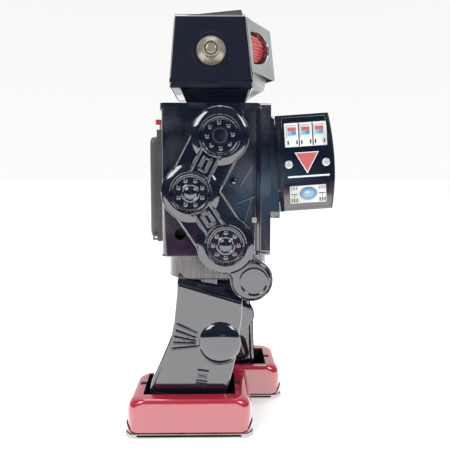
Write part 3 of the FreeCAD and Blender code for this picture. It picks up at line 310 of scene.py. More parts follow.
def lathe(profile, turns=64):
    """Spin a (radius, along) profile about the second axis: points are (across, along, up)."""
    verts = []
    for radius, along in profile:
        for turn in range(turns):
            angle = 2 * math.pi * turn / turns
            verts.append((radius * math.cos(angle), along, radius * math.sin(angle)))
    return verts, wrapped(len(profile), turns)


def tube(path, radius, closed=False, turns=10):
    """A round bead along a path of points."""
    verts = []
    count = len(path)
    path = [Vector(point) for point in path]
    up = None
    for index in range(count):
        before = path[index - 1] if closed or index else path[0]
        after = path[(index + 1) % count] if closed or index < count - 1 else path[-1]
        along = (after - before).normalized()
        if up is None:
            up = along.orthogonal().normalized()
        side = along.cross(up).normalized()
        up = side.cross(along).normalized()
        for turn in range(turns):
            angle = 2 * math.pi * turn / turns
            verts.append(path[index] + (up * math.cos(angle) + side * math.sin(angle)) * radius)
    faces = wrapped(count, turns, closed)
    if not closed:
        faces.extend(end_faces(count, turns))
    return verts, faces


def joined(shapes):
    """Several (verts, faces) as one."""
    verts, faces = [], []
    for some_verts, some_faces in shapes:
        start = len(verts)
        verts.extend(some_verts)
        faces.extend(tuple(index + start for index in face) for face in some_faces)
    return verts, faces


def moved(shape, change):
    """A shape with every point passed through a function."""
    verts, faces = shape
    return [change(point) for point in verts], faces


# ---- pressed sheets: a height over an outline ------------------------------------------------

def step_up(distance, width):
    """Smooth rise from 0 to 1 as a distance goes from 0 to a width."""
    share = np.clip(distance / width, 0, 1)
    return share * share * (3 - 2 * share)


def capsule(u, w, start, stop, radius):
    """Signed distance to a thick line."""
    along = np.array(stop, float) - np.array(start, float)
    share = np.clip(((u - start[0]) * along[0] + (w - start[1]) * along[1]) / max(along @ along, 1e-9), 0, 1)
    return np.hypot(u - start[0] - share * along[0], w - start[1] - share * along[1]) - radius


def slab(u, w, centre, half_long, half_wide, angle, radius=0.4):
    """Signed distance to a turned rectangle with rounded corners."""
    turn = math.radians(angle)
    du, dw = u - centre[0], w - centre[1]
    along = np.abs(du * math.cos(turn) + dw * math.sin(turn)) - half_long + radius
    across = np.abs(-du * math.sin(turn) + dw * math.cos(turn)) - half_wide + radius
    outside = np.hypot(np.maximum(along, 0), np.maximum(across, 0))
    return outside + np.minimum(np.maximum(along, across), 0) - radius


def polygon(u, w, corners):
    """Signed distance to a polygon, negative inside."""
    distance = np.full(u.shape, 1e9)
    inside = np.zeros(u.shape, bool)
    for (ax, ay), (bx, by) in zip(corners, corners[1:] + corners[:1]):
        distance = np.minimum(distance, capsule(u, w, (ax, ay), (bx, by), 0))
        crosses = (ay > w) != (by > w)
        slope = (bx - ax) * (w - ay) / (by - ay if by != ay else 1e-12) + ax
        inside ^= crosses & (u < slope)
    return np.where(inside, -distance, distance)


def pressed(outline, height, bounds, pitch, skirt):
    """Grid over an outline, snapped to its edge, raised by a height, with a skirt turned back."""
    u_from, u_to, w_from, w_to = bounds
    us = np.arange(u_from, u_to + pitch, pitch)
    ws = np.arange(w_from, w_to + pitch, pitch)
    grid_u, grid_w = np.meshgrid(us, ws, indexing="ij")
    distance = outline(grid_u, grid_w)
    inner = distance < 0
    keep = inner[:-1, :-1] | inner[1:, :-1] | inner[:-1, 1:] | inner[1:, 1:]
    near = np.zeros_like(inner)
    for du in (0, 1):
        for dw in (0, 1):
            near[du:du + keep.shape[0], dw:dw + keep.shape[1]] |= keep
    step = 0.05
    for _ in range(6):
        value = outline(grid_u, grid_w)
        slope_u = (outline(grid_u + step, grid_w) - outline(grid_u - step, grid_w)) / (2 * step)
        slope_w = (outline(grid_u, grid_w + step) - outline(grid_u, grid_w - step)) / (2 * step)
        steep = np.maximum(slope_u ** 2 + slope_w ** 2, 0.2)
        move = np.where(near & (value > 0), value, 0)
        grid_u = grid_u - move * slope_u / steep
        grid_w = grid_w - move * slope_w / steep
    rise = height(grid_u, grid_w, np.minimum(outline(grid_u, grid_w), 0))
    number = -np.ones(inner.shape, int)
    number[near] = np.arange(near.sum())
    points = np.stack((grid_u[near], rise[near], grid_w[near]), axis=1)
    i, j = np.nonzero(keep)
    quads = np.stack((number[i, j], number[i + 1, j], number[i + 1, j + 1], number[i, j + 1]), axis=1)
    starts, stops = quads.ravel(), np.roll(quads, -1, axis=1).ravel()
    count = len(points)
    alone = ~np.isin(starts * count + stops, stops * count + starts)
    starts, stops = starts[alone], stops[alone]
    rim, place = np.unique(np.concatenate((starts, stops)), return_inverse=True)
    low = points[rim] - (0, skirt, 0)
    first, second = place[:len(starts)] + count, place[len(starts):] + count
    turned = np.stack((stops, starts, first, second), axis=1)
    return np.concatenate((points, low)), np.concatenate((quads, turned)).tolist()


# ---- arms -----------------------------------------------------------------------------------

DISCS = ((0, 0), (-19.2, -37), (3.8, -71.4))
HAND = (20.8, -94.8)
PALM = (22.2, -96.3)
DISC_TURNS = (4, 22.5, 45)
DISC_RADIUS, RING_RADIUS, HAND_RADIUS, WEB_RADIUS = 19.2, 12.4, 14.1, 17.2


def arm_outline(u, w):
    """Three discs, the webs between them, the wrist and the hand."""
    shape = np.minimum(capsule(u, w, HAND, HAND, HAND_RADIUS), capsule(u, w, DISCS[2], HAND, 10.6))
    for start, stop in zip(DISCS, DISCS[1:]):
        shape = np.minimum(shape, capsule(u, w, start, stop, WEB_RADIUS))
    for centre in DISCS:
        shape = np.minimum(shape, capsule(u, w, centre, centre, DISC_RADIUS))
    return shape


def disc_relief(u, w, centre, turned):
    """Rim line, eight bumps and the hub inside one ring."""
    reach = np.hypot(u - centre[0], w - centre[1])
    disc = 0.7 + 0.5 * np.exp(-((reach - 12.1) / 0.4) ** 2) + 0.25 * np.exp(-((reach - 10.9) / 0.3) ** 2)
    for index in range(8):
        angle = math.radians(turned + 45 * index)
        bump = np.hypot(u - centre[0] - 8.3 * math.cos(angle), w - centre[1] - 8.3 * math.sin(angle))
        disc = disc + 0.75 * np.sqrt(np.clip(1 - (bump / 1.25) ** 2, 0, 1))
    hub, collar = (5.2, 0.15) if turned == DISC_TURNS[0] else (5.4, 0.55)
    disc = disc + collar * np.exp(-((reach - hub) / 0.4) ** 2)
    return disc + 1.4 * np.sqrt(np.clip(1 - (reach / (hub - 1.3)) ** 2, 0, 1))


def link_relief(u, w, start, stop):
    """A channel with raised sides and one framed plate; also how far inside the channel a place is."""
    angle = math.degrees(math.atan2(stop[1] - start[1], stop[0] - start[0]))
    middle = ((start[0] + stop[0]) / 2, (start[1] + stop[1]) / 2)
    bar = slab(u, w, middle, 22, 7.4, angle, 0.5)
    frame_line = np.abs(slab(u, w, middle, 4.2, 2.3, angle, 0.5))
    level = 0.9 + 0.95 * np.exp(-((bar + 1.0) / 0.5) ** 2) + 0.95 * step_up(0.95 - frame_line, 0.5)
    return level, -bar


def arm_relief(u, w, edge):
    """Rim, fat rings round the discs, channels across them, hubs and the flat hand."""
    inside = -edge
    level = 0.15 * step_up(inside - 1.1, 0.6) + 0.8 * np.exp(-((inside - 0.55) / 0.42) ** 2)
    reaches = [np.hypot(u - x, w - z) for x, z in DISCS]
    for reach in reaches:
        swell = np.cos(math.pi / 2 * np.clip((reach - 13.5) / 5.6, 0, 1))
        ring = 0.2 + 1.75 * swell * step_up(reach - 12.6, 0.9)
        level = np.where((reach < DISC_RADIUS) & (reach > RING_RADIUS), np.maximum(level, ring), level)
    for index, (start, stop) in enumerate(zip(DISCS, DISCS[1:])):
        channel, depth = link_relief(u, w, start, stop)
        clear = np.minimum(reaches[index], reaches[index + 1]) - 13.4
        share = step_up(depth, 0.5) * step_up(clear, 0.8)
        level = level * (1 - share) + channel * share
    for centre, turned, reach in zip(DISCS, DISC_TURNS, reaches):
        level = np.where(reach <= RING_RADIUS + 0.4, disc_relief(u, w, centre, turned), level)
    plateau = 1.15 * step_up(inside - 0.9, 1.6)
    palm = np.hypot(u - PALM[0], w - PALM[1])
    plateau = plateau - step_up(8.6 - palm, 0.7) * 0.42 * np.clip(0.6 - (w - PALM[1]) / 8.6, 0, 2)
    lip = 0.12 * np.exp(-((palm - 9.0) / 0.5) ** 2)
    own = (reaches[2] > DISC_RADIUS - 0.2) & (w < -82) & (inside > 0.9)
    return np.where(own, np.maximum(level, plateau + lip), level)


def arms():
    """One pressed sheet a side, its back left open as folded tin is."""
    sheet = pressed(arm_outline, arm_relief, (-41, 38, -112, 21), 0.36, 3.0)
    for side, name in SIDES:
        place = joint_place(f"{name}_arm_swing")
        low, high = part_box(f"{name}_arm")
        inner = low.y if side > 0 else high.y
        depth = abs((high.y if side > 0 else low.y) - inner) / MM
        face = depth - 3.9
        shape = moved(sheet, lambda point: (point[0], side * (face + point[1]), point[2]))
        item = piece(f"{name}_arm_pressing", shape, f"{name}_arm_body", "black_lacquer", smooth=50,
                     offset=(place.x, inner, place.z))
        solid = item.modifiers.new("sheet", "SOLIDIFY")
        solid.thickness = 0.5 * MM
        solid.offset = -1
        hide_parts(f"{name}_arm")
        wall = [(5.0, 0.0), (5.0, face + 0.8), (3.1, face + 0.8), (3.1, 0.0), (5.0, 0.0)]
        bush = moved(lathe(wall, 32), lambda point: (point[0], side * point[1], point[2]))
        piece(f"{name}_arm_bush", bush, f"{name}_arm_body", "steel", offset=(place.x, inner, place.z))


# ---- legs -----------------------------------------------------------------------------------

LEG_SKIN, LEG_NEAR = 38.0, 12.8
STRIDE = 8
LEG_TOP = {"right": -3.5, "left": -10.5}
LEG = [(-22, -9), (-21.3, -15), (-21, -22), (-20.4, -37), (-21.2, -47), (-23.4, -56), (-27.2, -69.5),
       (-30.2, -80), (-30.8, -86), (-31.0, -91), (23.4, -91), (23.6, -82), (24.0, -76), (25.0, -67),
       (26, -57), (26.3, -47), (26, -35), (26.2, -27.5), (25, -16.5)]
KNEE, KNEE_RADIUS = (13.5, -47.1), 14.7
RIBS = (((-17.6, -38.0), (-3.4, -42.3)), ((-17.8, -42.8), (-3.6, -45.8)), ((-18.2, -47.1), (-3.9, -48.1)),
        ((-18.4, -51.4), (-4.0, -49.8)), ((-18.9, -55.8), (-1.8, -51.6)))
SLOTS = ((-68.2, 0.75, 4.1), (-71.1, 0.16, 4.1), (-73.6, 0.16, 4.1), (-72.3, 0.4, 2.9), (-75.8, 0.6, 4.1),
         (-77.6, 0.6, 4.1), (-79.4, 0.6, 4.1))


def leg_outline(u, w):
    """Side view of the leg with the knee standing a little past its front edge."""
    return np.minimum(polygon(u, w, LEG), capsule(u, w, KNEE, KNEE, KNEE_RADIUS))


def leg_crown(w):
    """The slight bow of a leg's face."""
    return 0.5 * (1 - ((w + 50) / 42) ** 2) - 0.45


def leg_relief(u, w, edge):
    """Flat face inside a rounded edge flange, knee dome and fan of ribs."""
    inside = -edge
    level = -1.5 * (1 - np.sqrt(np.clip(1 - (1 - np.clip(inside / 1.7, 0, 1)) ** 2, 0, 1)))
    flange = step_up(inside - 2.2, 0.6) * (1 - step_up(inside - 2.8, 0.1)) + step_up(inside - 2.8, 0.1)
    level = level + 0.45 + leg_crown(w) - 0.45 * flange
    for start, stop in RIBS:
        line = capsule(u, w, start, stop, 0.0)
        taper = 1.0 - 0.25 * np.clip((u - start[0]) / (stop[0] - start[0]), 0, 1)
        level = level + 1.05 * np.sqrt(np.clip(1 - (line / taper) ** 2, 0, 1)) * step_up(inside - 1.0, 0.8)
    reach = np.hypot(u - KNEE[0], w - KNEE[1])
    level = level - 0.22 * np.exp(-((reach - KNEE_RADIUS - 0.4) / 0.35) ** 2) * (inside > 0.8)
    dome = 4.6 * np.sqrt(np.clip(1 - (reach / (KNEE_RADIUS + 0.25)) ** 2, 0, 1)) - 0.9
    bed = level * (reach > KNEE_RADIUS - 0.3) - 1.2
    return np.where(reach < KNEE_RADIUS, np.maximum(dome, bed), level)


def inner_outline(u, w):
    """The leg's outline less the window its crank pin works in."""
    return np.maximum(leg_outline(u, w), -slab(u, w, (0, -16), 6.4, 4.5, 0, 0.3))


def inner_relief(u, w, edge):
    """Flange, shallow knee disc and a long hollow on the inner side."""
    inside = -leg_outline(u, w)
    level = -0.9 * (1 - step_up(inside, 1.2)) - 0.5 * step_up(inside - 2.6, 0.7)
    hollow = slab(u, w, (2, -76), 17, 10, 8, 5)
    level = level - 1.3 * step_up(-hollow, 3.0)
    reach = np.hypot(u - KNEE[0], w - KNEE[1])
    return np.where(reach < 13.4, 1.7 * np.sqrt(np.clip(1 - (reach / 13.4) ** 2, 0, 1)) - 0.5, level)


def ring_of(points, share_count=4):
    """The same outline with extra points along each straight run."""
    dense = []
    for (ax, az), (bx, bz) in zip(points, points[1:] + points[:1]):
        for step in range(share_count):
            share = step / share_count
            dense.append((ax + (bx - ax) * share, az + (bz - az) * share))
    return dense


def leg_walls(side, lift):
    """Walls round the leg; the top rises inside the waist band to close the hip."""
    knee_arc = [(KNEE[0] + 14.6 * math.cos(angle), KNEE[1] + 14.6 * math.sin(angle))
                for angle in np.radians([-28, -14, 0, 14, 28])]
    rim = ring_of(LEG[:14] + [(26, -57)] + knee_arc + LEG[16:])
    slope = (LEG[-1][1] - LEG[0][1]) / (LEG[-1][0] - LEG[0][0])
    rings = []
    for across, share in ((LEG_SKIN - 1.5, 0), (34.5, 0), (33.0, 0.35), (31, 0.85), (28, 1),
                          (LEG_NEAR + 0.9, 1), (LEG_NEAR + 0.2, 0.96)):
        ring = []
        for x, z in rim:
            top = LEG[0][1] + slope * (x - LEG[0][0])
            if z > top - 0.6 and lift > top:
                z = z + (lift - top) * share
            ring.append((x, side * across, z))
        rings.append(ring)
    return loft(rings, (False, False))


def legs():
    """Pressed face, walls, closed top, inner side and slots of each leg, upright, then swung."""
    outer = pressed(leg_outline, leg_relief, (-33, 30, -93, -7), 0.36, 0.0)
    inner = pressed(inner_outline, inner_relief, (-33, 30, -93, -7), 0.6, 0.4)
    for side, name in SIDES:
        hip = joint_place("right_hip")
        swing = math.radians(-side * STRIDE)

        def swung(point):
            x, y, z = point
            return (x * math.cos(swing) + z * math.sin(swing), y, -x * math.sin(swing) + z * math.cos(swing))

        face_side = moved(outer, lambda point: (point[0], side * (LEG_SKIN + point[1]), point[2]))
        near_side = moved(inner, lambda point: (point[0], side * (LEG_NEAR - point[1]), point[2]))
        shape = joined([face_side, near_side, leg_walls(side, LEG_TOP[name])])
        item = piece(f"{name}_leg_pressing", moved(shape, swung), f"{name}_leg_body", "black_lacquer",
                     smooth=42, offset=(hip.x, 0, hip.z))
        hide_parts(f"{name}_leg")
        # Each slot is a thin near-black patch on the leg's face: painted shade for the dark inside of the
        # slot.
        marks = []
        for height, half, wide in SLOTS:
            level = LEG_SKIN + leg_crown(height)
            corners = rounded(4.5 - wide, 4.5 + wide, height - half, height + half, 0.12, 2)
            marks.append(loft([[(x, side * (level + rise), z) for x, z in corners] for rise in (-0.3, 0.05)]))
        piece(f"{name}_leg_slots", moved(joined(marks), swung), f"{name}_leg_body", "black_lacquer", PAINTED_SHADE,
              offset=(hip.x, 0, hip.z))
        hang = [[(x, side * y, z) for x, z in ((-6, -8), (6, -8), (4.5, 3.6), (-4.5, 3.6))] for y in (31, 32)]
        piece(f"{name}_hip_tab", moved(loft(hang), swung), f"{name}_leg_body", "steel", BAND, bevel=0.3,
              offset=(hip.x, 0, hip.z))


# ---- shoes ----------------------------------------------------------------------------------

FOOT_MIDDLE, SHOE_TOP = -1.25, 26.6
SHOE_LEVELS = ((0.9, 0.9, 2.9, 8), (0.1, 0.1, 4.0, 8), (0.0, 0.0, 5.2, 8), (0.3, 0.2, 6.2, 8),
               (0.1, 0.1, 9, 8), (0.0, 0.0, 17.0, 8), (0.4, 0.05, 20.0, 8.2), (1.4, 0.15, 22.6, 8.6),
               (2.9, 0.35, 24.5, 9), (4.6, 0.8, 25.8, 9), (6.4, 1.5, 26.4, 8.6), (7.8, 2.6, SHOE_TOP, 7))
SOLE_LEVELS = ((0.6, 0.6, 0.5), (-0.3, -0.2, 0.55), (-0.45, -0.3, 1.0), (-0.45, -0.3, 2.5),
               (-0.15, -0.05, 2.8))


def shoe_ring(ends, sides, height, radius, side):
    """One level of the shoe about the ankle, drawn in at ends and sides."""
    outline = rounded(-44.5 + ends, 42 - ends, 4 + sides, 51 - sides, radius, 10)
    return [(x, side * y, height) for x, y in outline]


def lift_ends(ring):
    """Turn the sole's edge up and out at toe and heel."""
    lifted = []
    for x, y, z in ring:
        far = min(1.0, max(0.0, (abs(x - FOOT_MIDDLE) - 36.5) / 7.5))
        lifted.append((x + math.copysign(0.1 * far, x - FOOT_MIDDLE), y, z + 7.5 * far ** 2))
    return lifted


def shoes():
    """Red tin shoe: upright walls, soft sloping ends, the leg's opening, foot bead and metal sole edge."""
    for side, name in SIDES:
        foot, body = (joint_place(f"{name}_ankle").x, 0, 0), f"{name}_foot"
        top = [(x, side * y, SHOE_TOP) for x, y in rounded(-33.8, 30.6, 8.5, 42, 1.2, 10)]
        fold = [(x, y, SHOE_TOP - 1.2) for x, y, _ in top]
        rings = [*[shoe_ring(*level, side) for level in SHOE_LEVELS], top, fold]
        item = piece(f"{name}_shoe_pressing", loft(rings, (False, False)), body, "red_lacquer", smooth=60,
                     offset=foot)
        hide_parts(f"{name}_shoe")
        # The well inside the leg's opening is near-black: painted shade down inside the shoe.
        well = [fold, [(x * 1.02, y, 12.0) for x, y, _ in top]]
        piece(f"{name}_shoe_well", loft(well, (False, True)), body, "red_lacquer", PAINTED_SHADE, offset=foot)
        # The notches are thin near-black patches: painted shade for the dark slots at the shoe's ends.
        notches = []
        for x_from, x_to in ((-38, -33.6), (30.4, 34.6)):
            notch = rounded(x_from, x_to, 22.5, 26.5, 0.4, 2)
            notches.append(loft([[(x, side * y, z) for x, y in notch] for z in (26.0, 26.68)]))
        piece(f"{name}_shoe_notches", joined(notches), body, "red_lacquer", PAINTED_SHADE, offset=foot)
        lip = []
        for ends, sides, height in SOLE_LEVELS:
            ring = shoe_ring(ends, sides, height, 8, side)
            lip.append(lift_ends(ring) if height > 2 else ring)
        piece(f"{name}_sole_lip", loft(lip, (False, False)), body, "steel", SOLE, smooth=60, offset=foot)


# ---- head -----------------------------------------------------------------------------------

def head_shape():
    """Black head box: a shallow turned-in foot, soft edges and a thin pressed line round its top."""
    low, high = span("head_shell")
    back, front, half = low.x, high.x, high.y
    tall = high.z - low.z
    rings = [(0.0, back + 0.8, front - 0.8, half - 0.8), (0.25, back + 0.35, front - 0.35, half - 0.35),
             (3.3, back + 0.25, front - 0.25, half - 0.25), (3.6, back + 0.35, front - 0.35, half - 0.35),
             (3.9, back + 0.05, front - 0.05, half - 0.05), (4.2, back, front, half)]
    for share in (0.06, 0.35, 0.7, 0.93):
        rings.append((3.8 + (tall - 3.8) * share, back + 3.6 * share, front - 4.8 * share, half - 2 * share))
    for drop, inset in ((1.5, 0.2), (0.8, 0.5), (0.3, 1.0), (0.0, 1.9)):
        rings.append((tall - drop, back + 3.6 + inset * 1.4, front - 4.8 - inset * 0.5, half - 2 - inset))
    loops = []
    for rise, x_from, x_to, wide in rings:
        loops.append([(x, y, low.z + rise) for x, y in rounded(x_from, x_to, -wide, wide, 0.9, 4)])
    return loft(loops, (False, True))


def head():
    """Head box, the plates under it, the lid's bead, the ears and the pressed rings they stand on."""
    shell = piece("head_box", head_shape(), "torso", "black_lacquer", smooth=30)
    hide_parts("head_shell")
    low, high = span("head_shell")
    neck_low, neck_high = span("neck")
    plates = []
    for x_from, x_to in ((low.x + 1.2, neck_low.x - 0.3), (neck_high.x + 0.3, high.x - 1.2)):
        outline = rounded(x_from, x_to, low.y + 1.2, high.y - 1.2, 0.9, 4)
        plates.append(loft([[(x, y, low.z + rise) for x, y in outline] for rise in (0.4, 0.9)]))
    piece("head_floor", joined(plates), "torso", "silver_paint", STEEL)
    low, high = span("head_cap")
    rim = rounded(low.x - 1.2, high.x + 0.8, low.y - 4.2, high.y + 4.2, 1.5, 4)
    rim = [(x, y, low.z + 0.35) for x, y in rim]
    piece("head_lid_bead", tube(rim, 0.22, True, 8), "torso", "silver_paint", CAP_GREY, smooth=50)
    for side, name in SIDES:
        low, high = span(f"{name}_ear")
        centre = ((low.x + high.x) / 2, (low.z + high.z) / 2)
        wall = low.y if side > 0 else high.y
        lean = math.radians(2.55)
        profile = [(0.0, 7.3), (2.4, 7.2), (3.4, 6.9), (3.9, 6.3), (4.1, 5.5), (4.35, 5.5), (4.5, 6.6),
                   (4.8, 7.4), (5.2, 7.6), (5.6, 7.3), (5.9, 6.5), (6.0, 5.6), (6.5, 5.0), (7.6, 3.9),
                   (8.8, 2.6), (9.6, 1.5), (9.9, 0.7), (9.9, 0.0), (9.2, 0.0)]

        def set_up(point):
            x, y, z = point
            y, z = y * math.cos(lean) - z * math.sin(lean), y * math.sin(lean) + z * math.cos(lean)
            return (centre[0] + x, wall + side * (y + 1.3), centre[1] + z)

        item = piece(f"{name}_ear_bell", moved(lathe(profile, 72), set_up), "torso", "ear_plastic", smooth=50)
        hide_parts(f"{name}_ear")
        ring = [(9.0, -0.3), (13.3, -0.3), (12.7, -0.21), (12.0, -0.18), (11.2, -0.21), (9.0, -0.25)]
        piece(f"{name}_ear_ring", moved(lathe(ring, 72), set_up), "torso", "black_lacquer", smooth=50)


# ---- face -----------------------------------------------------------------------------------

FACE_LOW, FACE_HIGH, FACE_LONG = 249.5, 286.0, 38.65
EYE_HEIGHT, EYE_HALF, EYE_START, EYE_MIDDLE, EYE_REACH, EYE_SLANT = 267.9, 11.2, 2.9, 12.0, 20.1, 0.18
EYE_BOWL = ((0.5, 0.0), (0.35, 0.14), (0.05, 0.12), (-0.15, -0.2), (-0.25, -1.2), (-0.45, -3.2), (-0.7, -4.6))
CHIN = ((239.0, 36.9, 32.4, 25.9, 3.4), (241.4, 37.3, 32.7, 26.0, 2.0), (241.8, 37.0, 32.5, 25.9, 2.0),
        (242.4, 37.4, 32.7, 26.0, 2.0), (249.4, 38.2, 33.4, 26.2, 0.0), (250.6, 38.2, 33.4, 26.2, 0.0))


def face_point(side, along, height, rise):
    """A point on one half of the prow: along from the head's edge to the apex, rise out of it."""
    share = (height - FACE_LOW) / (FACE_HIGH - FACE_LOW)
    edge = Vector((26.3 - 4.4 * share, 34.5 - 2.0 * share, height))
    apex = Vector((45.1 - 4.0 * share, 0.0, height))
    out = Vector((apex.y - edge.y, edge.x - apex.x, 0)).normalized() * -1
    place = edge + (apex - edge) * (along / FACE_LONG) + out * rise
    return (place.x + SHIFT, side * place.y, place.z)


def eye_slant(along):
    """The eye climbs a little toward the nose."""
    return EYE_SLANT * (along - EYE_MIDDLE)


def eye_loop(grow, rise, side, steps=28):
    """The eye's D-shaped edge, grown or drawn in, at one depth."""
    turns = [math.radians(-90 + 180 * step / steps) for step in range(steps + 1)]
    reach, half, start = EYE_REACH + grow, EYE_HALF + grow, EYE_START - grow
    loop = [(EYE_MIDDLE + reach * math.cos(turn), half * math.sin(turn)) for turn in turns]
    corner = ((1.2, 0.0), (0.35, 0.35), (0.0, 1.2))
    loop += [(start + along, half - drop) for along, drop in corner]
    loop += [(start + along, drop - half) for along, drop in corner[::-1]]
    return [face_point(side, along, EYE_HEIGHT + height + eye_slant(along), rise) for along, height in loop]


def eye_hole(s, z):
    """Signed distance to one half of the face less its eye."""
    edge = np.maximum(np.maximum(-s, s - FACE_LONG), np.maximum(FACE_LOW - z, z - FACE_HIGH))
    z = z - eye_slant(s)
    arc = (np.hypot((s - EYE_MIDDLE) / EYE_REACH, (z - EYE_HEIGHT) / EYE_HALF) - 1) * EYE_HALF
    flat = np.maximum(np.abs(z - EYE_HEIGHT) - EYE_HALF, EYE_START - s)
    return np.maximum(edge, -np.where(s > EYE_MIDDLE, arc, flat))


def face_crown(s, z, edge):
    """The slight bow of one half of the face."""
    return 0.12 * np.sin(s / FACE_LONG * math.pi) * (z > FACE_LOW + 0.5)


def brow(side):
    """The strip folded over the top of one half of the face."""
    edge = [face_point(side, along, FACE_HIGH, 0.0) for along in np.linspace(0, FACE_LONG, 14)]
    pivot = SHIFT + 21.6
    lift = [(pivot + (x - pivot) * 0.7, y * 0.985, 287.4) for x, y, _ in edge]
    return loft([[*row, *[(x, y, z - 0.5) for x, y, z in row[::-1]]] for row in (edge, lift)])


def chin():
    """Narrower chin, folded at the nose, rising toward it at its foot, and the flat under it."""
    rings = []
    for height, apex, half, base, climb in CHIN:
        ring = []
        for side, first in ((1, 0), (-1, 1)):
            for step in range(first, 9):
                share = step / 8 if side > 0 else 1 - step / 8
                ring.append((SHIFT + base + (apex - base) * share, side * half * (1 - share),
                             height + climb * share))
        rings.append(ring)
    back = [(SHIFT + 23.5, y, z) for _, y, z in rings[0]]
    return [woven(rings), woven([back, rings[0]])]


def face():
    """Silver prow with a D-shaped bowl in each half, a folded brow and the chin below."""
    halves = []
    sheet = pressed(eye_hole, face_crown, (0, FACE_LONG, FACE_LOW, FACE_HIGH), 0.5, 0.7)
    for side, name in SIDES:
        halves.append(moved(sheet, lambda point: face_point(side, point[0], point[2], point[1])))
        bowl = [eye_loop(grow, rise, side) for grow, rise in EYE_BOWL]
        item = piece(f"{name}_eye_bowl", loft(bowl, (False, False)), "torso", "chrome", smooth=50)
        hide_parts(f"{name}_eye_cup")
        # The seat at the bottom of the bowl, behind the lens, is near-black: painted shade in the recess.
        seat = [eye_loop(-0.5, rise, side) for rise in (-4.7, -4.4)]
        piece(f"{name}_eye_seat", loft(seat), "torso", "black_plastic", PAINTED_SHADE, smooth=50)
    shapes = [*halves, *[brow(side) for side, _ in SIDES], *chin()]
    item = piece("face_prow", joined(shapes), "torso", "silver_paint", smooth=24)
    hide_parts("face_plate")


def eye_height_at(along, inset):
    """Half height of the eye opening at a place along the face."""
    if along <= EYE_MIDDLE:
        return EYE_HALF - inset
    share = min(1.0, (along - EYE_MIDDLE) / (EYE_REACH - inset))
    return (EYE_HALF - inset) * math.sqrt(max(0.0, 1 - share * share))


def eyes():
    """Red lens pressed into slanting ribs, standing in the bowl."""
    for side, name in SIDES:
        shapes = []
        base = [eye_loop(grow, rise, side) for grow, rise in ((-1.2, -4.4), (-1.4, -4.0), (-1.8, -3.9))]
        shapes.append(loft(base, (False, True)))
        for row in range(-5, 6):
            path = []
            for along in np.linspace(EYE_START + 2.2, EYE_MIDDLE + EYE_REACH - 1.6, 28):
                height = row * 2.45 + 1.2 - 0.10 * (along - EYE_MIDDLE)
                if abs(height) < eye_height_at(along, 1.9):
                    path.append(face_point(side, along, EYE_HEIGHT + height + eye_slant(along), -3.75))
            if len(path) > 3:
                shapes.append(tube(path, 0.74, False, 8))
        item = piece(f"{name}_eye_ribs", joined(shapes), "torso", "red_plastic", smooth=50)
        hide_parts(f"{name}_eye_lens")


# ---- doors ----------------------------------------------------------------------------------

DOOR_HALF, DOOR_SIDE, DOOR_BULGE, DOOR_LEAN = 32.5, 34.4, 37.2, 4
DOOR_ROWS, DOOR_COLUMNS = 66, 20


def door_point(side, u, w, rise):
    """A point on a door's crowned outer face: u from the pin, w up the pin, rise out of the tin."""
    tilt = math.radians(DOOR_LEAN)
    pin = joint_place("right_door_hinge") / MM
    x = pin.x + u * math.cos(tilt) - w * math.sin(tilt)
    z = pin.z + u * math.sin(tilt) + w * math.cos(tilt)
    return (x, side * (abs(pin.y) + 1.6 + rise + door_bend(w)), z)


def door_bend(w):
    """The lower third of a door leans in a little."""
    below = max(0.0, -w - 13.2)
    return -0.105 * (below - 1.2 * (1 - math.exp(-below / 1.2)))


def hinge_point(side, u, w, across=0.0):
    """A point in the plane of the door's pin."""
    x, _, z = door_point(side, u, w, 0)
    return (x, side * (abs(joint_place("right_door_hinge").y / MM) + across), z)


def door_skins(side):
    """Outer and inner face of the door's sheet and the cut edge between them."""
    skins = []
    for rise in (0.0, -0.45):
        skins.append(woven([[door_point(side, share * door_edge(w), w, rise)
                             for share in np.linspace(0.02, 1, DOOR_COLUMNS)]
                            for w in np.linspace(-DOOR_HALF, DOOR_HALF, DOOR_ROWS)]))
    verts, faces = joined(skins)
    number = np.arange(DOOR_ROWS * DOOR_COLUMNS).reshape(DOOR_ROWS, DOOR_COLUMNS)
    border = [*number[0], *number[1:, -1], *number[-1, -2::-1], *number[-2:0:-1, 0]]
    back = number.size
    faces += [(int(one), int(two), int(two) + back, int(one) + back)
              for one, two in zip(border, border[1:] + border[:1])]
    return verts, faces


def door_sheet(side, name):
    """The door's own sheet, bent, with its knuckles on the pin, and the leaf beside it."""
    shapes = [door_skins(side)]
    for low, high in ((-DOOR_HALF, -DOOR_HALF + 14), (DOOR_HALF - 14, DOOR_HALF)):
        shapes.append(tube([hinge_point(side, 0, w) for w in (low, high)], 1.6, False, 20))
    corners = ((-5.0, -0.25), (-1.8, -0.25), (-1.8, 0.25), (-5.0, 0.25))
    leaf = [[hinge_point(side, u, w, across) for u, across in corners]
            for w in (-DOOR_HALF + 1.5, DOOR_HALF - 1.5)]
    piece(f"{name}_hinge_leaf", loft(leaf), "torso", "black_lacquer")
    item = piece(f"{name}_door_sheet", joined(shapes), f"{name}_door_body", "door_print", smooth=40)
    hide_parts(f"{name}_door")


def plate(side, corners, rise, thick=0.12):
    """A thin printed patch on the door."""
    rings = [[door_point(side, u, w, level) for u, w in corners] for level in (rise, rise + thick)]
    return loft(rings)


def ellipse(u, w, wide, tall, count=40):
    """Points round an ellipse."""
    turns = [2 * math.pi * turn / count for turn in range(count)]
    return [(u + wide * math.cos(turn), w + tall * math.sin(turn)) for turn in turns]


def block(u_from, u_to, w_from, w_to, radius=0.2):
    """Points round an upright patch."""
    return rounded(u_from, u_to, w_from, w_to, radius, 2)


def door_edge(w, inset=0.0):
    """How far forward the door's bulged edge stands at a height."""
    return DOOR_SIDE + (DOOR_BULGE - DOOR_SIDE) * (1 - (w / DOOR_HALF) ** 2) - inset


